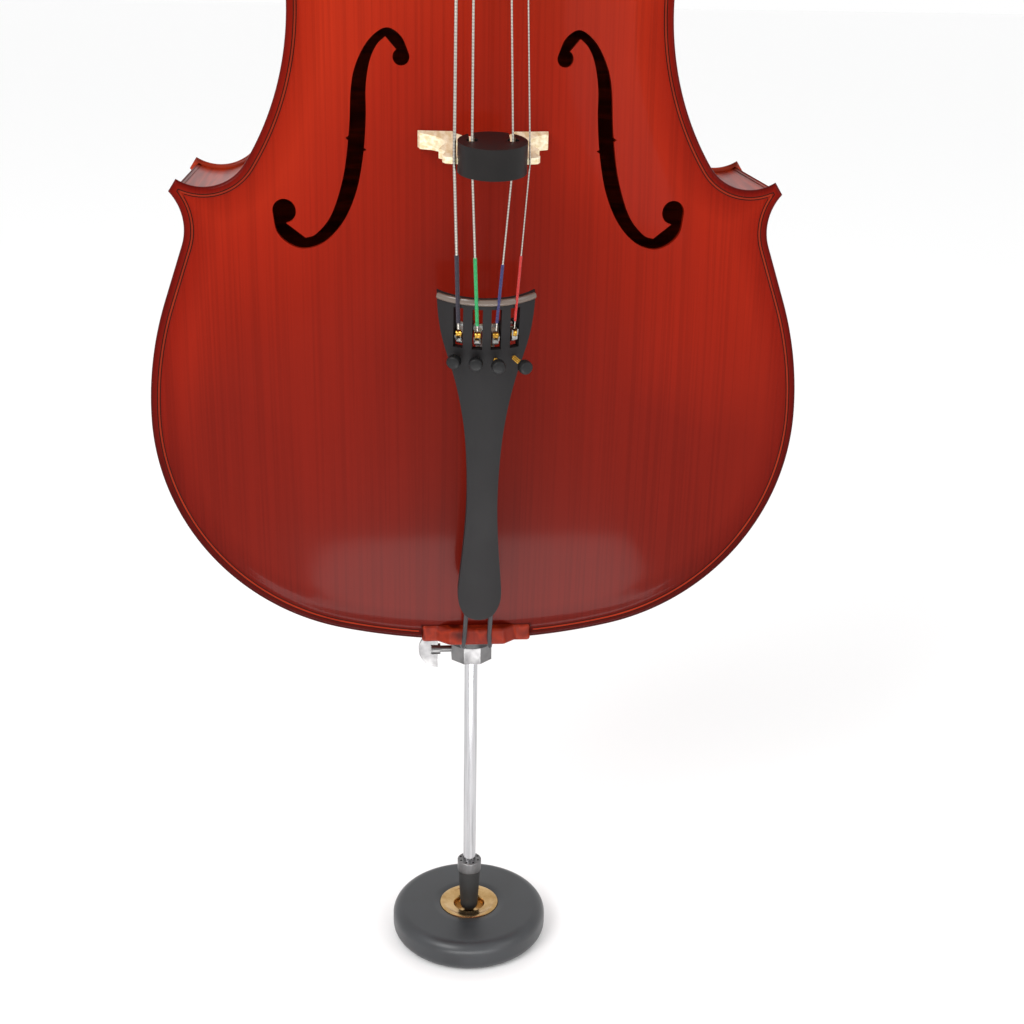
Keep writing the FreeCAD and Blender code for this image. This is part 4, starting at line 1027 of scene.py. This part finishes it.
def floor_rest():
    """A rubber disc with a rounded rim and a brass cup let into it, its lip standing a little proud."""
    low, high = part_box("floor_rest_disc")
    radius = (high.x - low.x) / 2 / MM
    top = (high.z - HOME.z) / MM
    base = (low.z - HOME.z) / MM
    round_r = 9.0
    rim = [(radius - round_r + round_r * math.sin(a), base + round_r - round_r * math.cos(a))
           for a in np.radians(np.linspace(0, 90, 12))]
    rim += [(radius - round_r + round_r * math.cos(a), top - round_r + round_r * math.sin(a))
            for a in np.radians(np.linspace(0, 90, 12))]
    pocket = [(30.0, top), (24.1, top), (23.7, top - 0.3), (23.6, top - 1.0), (23.6, top - 9.9)]
    middle = (0.0, ((low.y + high.y) / 2 - HOME.y) / MM)
    points, faces = lathe([(radius - round_r - 8, base)] + rim + pocket, 128, middle)
    made = piece("floor_rest_disc_moulded", points, faces, REST_RUBBER)
    settle(made, "floor_rest", "rest_rubber", "floor_rest_disc")
    cup_low, cup_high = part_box("floor_rest_cup")
    lip = (cup_high.z - HOME.z) / MM
    foot = (cup_low.z - HOME.z) / MM
    profile = [(22.0, foot), (23.4, foot + 0.4), (23.5, lip - 1.2), (23.3, lip - 0.4), (22.6, lip),
               (20.5, lip), (19.4, lip - 0.35), (18.6, lip - 1.0), (14.5, lip - 1.3), (12.6, lip - 1.7),
               (11.6, lip - 3.0),
               (11.5, foot + 2.0)]
    settle(piece("floor_rest_cup_turned", *lathe(profile, 96, middle), CUP_BRASS), "floor_rest", "cup_brass",
           "floor_rest_cup")


worked("tailgut", TAIL_CORD, "tailgut_cord", 0)
worked("saddle", SADDLE_RED, "varnished_maple", 2.2, segments=4)
worked("endpin_plug", PLUG_BLACK, "black_plug", 0.6, segments=3)
worked("endpin_collar", CHROME, "chromed_steel", 0.7, segments=3)
worked("thumbscrew_shank", CHROME, "chromed_steel", 0)
worked("thumbscrew_wing", CHROME, "chromed_steel", 0.9, segments=3)
worked("endpin_rod", ROD_STEEL, "polished_steel", 0)
worked("endpin_ferrule", CHROME, "chromed_steel", 0.2)
worked("rubber_tip", TIP_RUBBER, "black_rubber", 0)
floor_rest()


# ---------------------------------------------------------------- neck, fingerboard, bridge and mute

NUT_Z = 1035.0
# The neck's half-round sections: height, half-width and depth behind the fingerboard
NECK_SECTIONS = [(1036, 15.5, 18.0), (960, 17.5, 19.0), (870, 19.8, 20.5), (822, 21.2, 22.0),
                 (797, 21.6, 34.0), (779, 21.8, 66.0), (765, 22.0, 105.0), (757, 22.0, 135.4)]
PEGBOX_BACK = [(1020, 39.5), (1036, 42.8), (1047, 50.5), (1060, 60.0), (1180, 106.2), (1202, 117.5)]
PEGBOX_HALF = [(1020, 15.6), (1036, 15.9), (1048, 20.4), (1206, 13.5)]
CAVITY_Z = (1044.0, 1182.0)
CAVITY_HALF = (11.3, 8.6)
SCROLL_MIDDLE = (96.0, 1214.0)
SCROLL_R = (34.0, 8.6)
SCROLL_HALF = (13.2, 30.0)
SCROLL_TURNS = 2.35
SCROLL_START_R = 23.5
SCROLL_SWEEP = 0.15
NECK_VOXEL = 1.0


def neck_flat(z):
    """The neck's face under the fingerboard, a glue line behind it."""
    return -23.9 + 0.1725 * (z - BODY_LENGTH)


def along(table, z):
    """A table's value at a height."""
    return float(np.interp(z, *np.array(sorted(table), float).T))


def pegbox_front(z):
    """The pegbox's front face: behind the nut's seat, then leaning back."""
    return 24.4 if z < 1042 else 20.0 + (z - NUT_Z) * 0.377


def slab(z_from, z_to, left, right, front, back, step=4.0, corner=None):
    """Points and faces of a tapered block: its bounds and its back corners are functions of the height."""
    rings = []
    for z in np.linspace(z_from, z_to, max(2, int((z_to - z_from) / step))):
        cut = corner(z) if corner else 0.05
        in_left = left(z) + min(cut, 0.45 * (right(z) - left(z)))
        in_right = right(z) - min(cut, 0.45 * (right(z) - left(z)))
        rings.append([(left(z), front(z), z), (right(z), front(z), z), (right(z), back(z) - cut, z),
                      ((in_right + 2 * right(z)) / 3, back(z) - cut * 0.35, z), (in_right, back(z), z),
                      (in_left, back(z), z), ((in_left + 2 * left(z)) / 3, back(z) - cut * 0.35, z),
                      (left(z), back(z) - cut, z)])
    return loft(rings)


def shaft_and_heel():
    """The neck's half-round shaft, deepening to the heel at the body."""
    rings = []
    for z, half, depth in curve_through(NECK_SECTIONS, 4.0):
        flat = neck_flat(z)
        angles = np.radians(np.linspace(0, 180, 33))
        rings.append([(half * math.cos(a), flat + depth * math.sin(a) ** 0.9, z) for a in angles])
    return loft(rings[::-1])


def volute():
    """The scroll: a band that winds inwards and grows wider, with two flutes along its back."""
    rings = []
    count = int(SCROLL_TURNS * 56)
    shrink = math.log(SCROLL_R[1] / SCROLL_R[0]) / SCROLL_TURNS
    for k in range(count + 1):
        turns = SCROLL_TURNS * k / count
        rise = min(1.0, turns / SCROLL_SWEEP)
        outer = SCROLL_R[0] * math.exp(shrink * turns)
        outer = SCROLL_START_R + (outer - SCROLL_START_R) * rise * rise * (3 - 2 * rise)
        inner = max(0.5, SCROLL_R[0] * math.exp(shrink * (turns + 1)) - 2.0)
        half = SCROLL_HALF[0] + (SCROLL_HALF[1] - SCROLL_HALF[0]) * (turns / SCROLL_TURNS) ** 1.15
        dip = min(1.8, 0.06 * outer)
        waist = half - 1.6
        mid = (outer * 2 + inner) / 3
        section = [(outer - 1.6, half), (outer - 0.2, half - 1.4), (outer - dip, half * 0.5), (outer, 0.0),
                   (outer - dip, -half * 0.5), (outer - 0.2, 1.4 - half), (outer - 1.6, -half),
                   (mid, -waist), (inner, -waist), (inner, waist), (mid, waist)]
        a = math.radians(-34) + 2 * math.pi * turns
        y, z = SCROLL_MIDDLE
        rings.append([(x, y + r * math.cos(a), z + r * math.sin(a)) for r, x in section])
    return loft(rings)


def pegbox_half(z):
    """Half the pegbox's width."""
    return along(PEGBOX_HALF, z)


def pegbox_back(z):
    """The pegbox's back face."""
    return along(PEGBOX_BACK, z)


def hollow_half(z):
    """Half the width of the pegbox's hollow."""
    return float(np.interp(z, CAVITY_Z, CAVITY_HALF))


def chin(z):
    """How far the pegbox's back corners are cut where it starts from the shaft."""
    return float(np.interp(z, (1022, 1045), (14.5, 2.0)))


def neck():
    """Heel, shaft, hollow pegbox and scroll from one piece of maple: drawn in parts, then made one skin."""
    low, high = CAVITY_Z
    outside = (lambda z: -pegbox_half(z), pegbox_half)
    root = (lambda z: -21.8, lambda z: 21.8, lambda z: neck_flat(757), lambda z: RIB_DEPTH - 0.2)
    shapes = [shaft_and_heel(), volute(), slab(744.3, 758, *root),
              slab(1022, low + 1, *outside, pegbox_front, pegbox_back, 1.5, chin),
              slab(high - 1, 1202, *outside, pegbox_front, pegbox_back),
              slab(low, high, *outside, lambda z: pegbox_back(z) - 8, pegbox_back)]
    eye, faces = lathe([(5.0, -31.2), (7.4, -30.6), (8.4, -29.4), (8.4, 29.4), (7.4, 30.6), (5.0, 31.2)], 48)
    shapes.append((aimed(eye, (0, *SCROLL_MIDDLE), (1, 0, 0)), faces))
    holes = []
    for n in STRINGS:
        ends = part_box("winding_" + n)
        y, z = (((ends[0] + ends[1]) / 2 - HOME) / MM).yz
        points, faces = lathe([(6.5, -40), (6.5, 40)], 32)
        holes.append((aimed(points, (0, y, z), (1, 0, 0)), faces))
    solids = [piece("neck_part", *shape, NECK_MAPLE) for shape in shapes]
    for side in (-1, 1):
        walls = [lambda z: side * hollow_half(z), lambda z: side * pegbox_half(z)][::side]
        cheek = piece("neck_part", *slab(low, high, *walls, pegbox_front, pegbox_back), NECK_MAPLE)
        solids.append(cut_away(cheek, *merged_shapes(holes)))
    whole = bmesh.new()
    for solid in solids:
        whole.from_mesh(solid.data)
        bpy.data.objects.remove(solid)
    mesh = bpy.data.meshes.new("neck_carved")
    whole.to_mesh(mesh)
    whole.free()
    made = shown("neck_carved", mesh, NECK_MAPLE)
    skin_over = made.modifiers.new("one skin", "REMESH")
    skin_over.mode = "VOXEL"
    skin_over.voxel_size = NECK_VOXEL * MM
    eased = made.modifiers.new("eased", "SMOOTH")
    eased.factor = 0.5
    eased.iterations = 4
    baked(made)
    made.data.materials.clear()
    made.data.materials.append(NECK_MAPLE)
    made.data.shade_smooth()
    settle(made, "cello", "varnished_maple", "neck")


neck()
worked("fingerboard", EBONY, "ebony", 0.8)
worked("nut", EBONY, "ebony", 0.6)
worked("bridge", BRIDGE_MAPLE, "bare_maple", 0.45, segments=3)
worked("mute", MUTE_RUBBER, "black_rubber", 0.8, segments=3)


# ---------------------------------------------------------------- floor, light and camera

def floor():
    """A wide, flat, pale floor."""
    made, _, shader = blank("pale_floor", Roughness=0.6)
    shader.inputs["Base Color"].default_value = srgb("#FBFBFB")
    mesh = bpy.data.meshes.new("floor")
    corners = [(-1, -1), (1, -1), (1, 1), (-1, 1)]
    mesh.from_pydata([(x * FLOOR_HALF, y * FLOOR_HALF, 0) for x, y in corners], [], [(0, 1, 2, 3)])
    mesh.materials.append(made)
    plane = bpy.data.objects.new("floor", mesh)
    bpy.context.scene.collection.objects.link(plane)


def softbox(name, spot, aim, width, height, power):
    """A soft white panel light at spot, turned towards aim."""
    lamp = bpy.data.lights.new(name, "AREA")
    lamp.shape = "RECTANGLE"
    lamp.size = width
    lamp.size_y = height
    lamp.energy = power
    made = bpy.data.objects.new(name, lamp)
    made.location = spot
    made.rotation_euler = (Vector(aim) - Vector(spot)).to_track_quat("-Z", "Y").to_euler()
    bpy.context.scene.collection.objects.link(made)


def studio():
    """White surroundings, a broad key from the left, a weak fill and a low light for the lower edge."""
    world = bpy.data.worlds.new("studio")
    world.use_nodes = True
    sky = world.node_tree.nodes["Background"]
    sky.inputs["Color"].default_value = (1, 1, 1, 1)
    sky.inputs["Strength"].default_value = 1.0
    bpy.context.scene.world = world
    softbox("key", (-1.6, -1.8, 2.3), (0, 0, 0.6), 1.4, 1.4, 42)
    softbox("fill", (1.9, -1.6, 1.4), (0, 0, 0.5), 1.2, 1.6, 10)
    softbox("low", (0.0, -0.46, 0.03), (0, -0.06, 0.32), 0.55, 0.10, 1.6)
    bpy.context.scene.view_settings.view_transform = "Standard"


CAMERA_AT = Vector((-61.55, -995.9, 457.3)) * MM + HOME
CAMERA_PITCH = 19.861
CAMERA_YAW = 4.949
CAMERA_ROLL = 1.030
CAMERA_LENS = 53.14
FLOOR_HALF = 30.0


def camera():
    """The camera, from its place, its three angles and its lens."""
    lens = bpy.data.cameras.new("camera")
    lens.lens = CAMERA_LENS
    lens.sensor_width = 36.0
    lens.clip_end = 100.0
    made = bpy.data.objects.new("camera", lens)
    a, b, r = (math.radians(v) for v in (CAMERA_PITCH, CAMERA_YAW, CAMERA_ROLL))
    ahead = Vector((math.sin(b) * math.cos(a), math.cos(b) * math.cos(a), -math.sin(a)))
    right = Vector((math.cos(b), -math.sin(b), 0))
    up = right.cross(ahead)
    across = math.cos(r) * right + math.sin(r) * up
    upward = -math.sin(r) * right + math.cos(r) * up
    made.matrix_world = Matrix.Translation(CAMERA_AT) @ Matrix((across, upward, -ahead)).transposed().to_4x4()
    bpy.context.scene.collection.objects.link(made)
    bpy.context.scene.camera = made


floor()
studio()
camera()
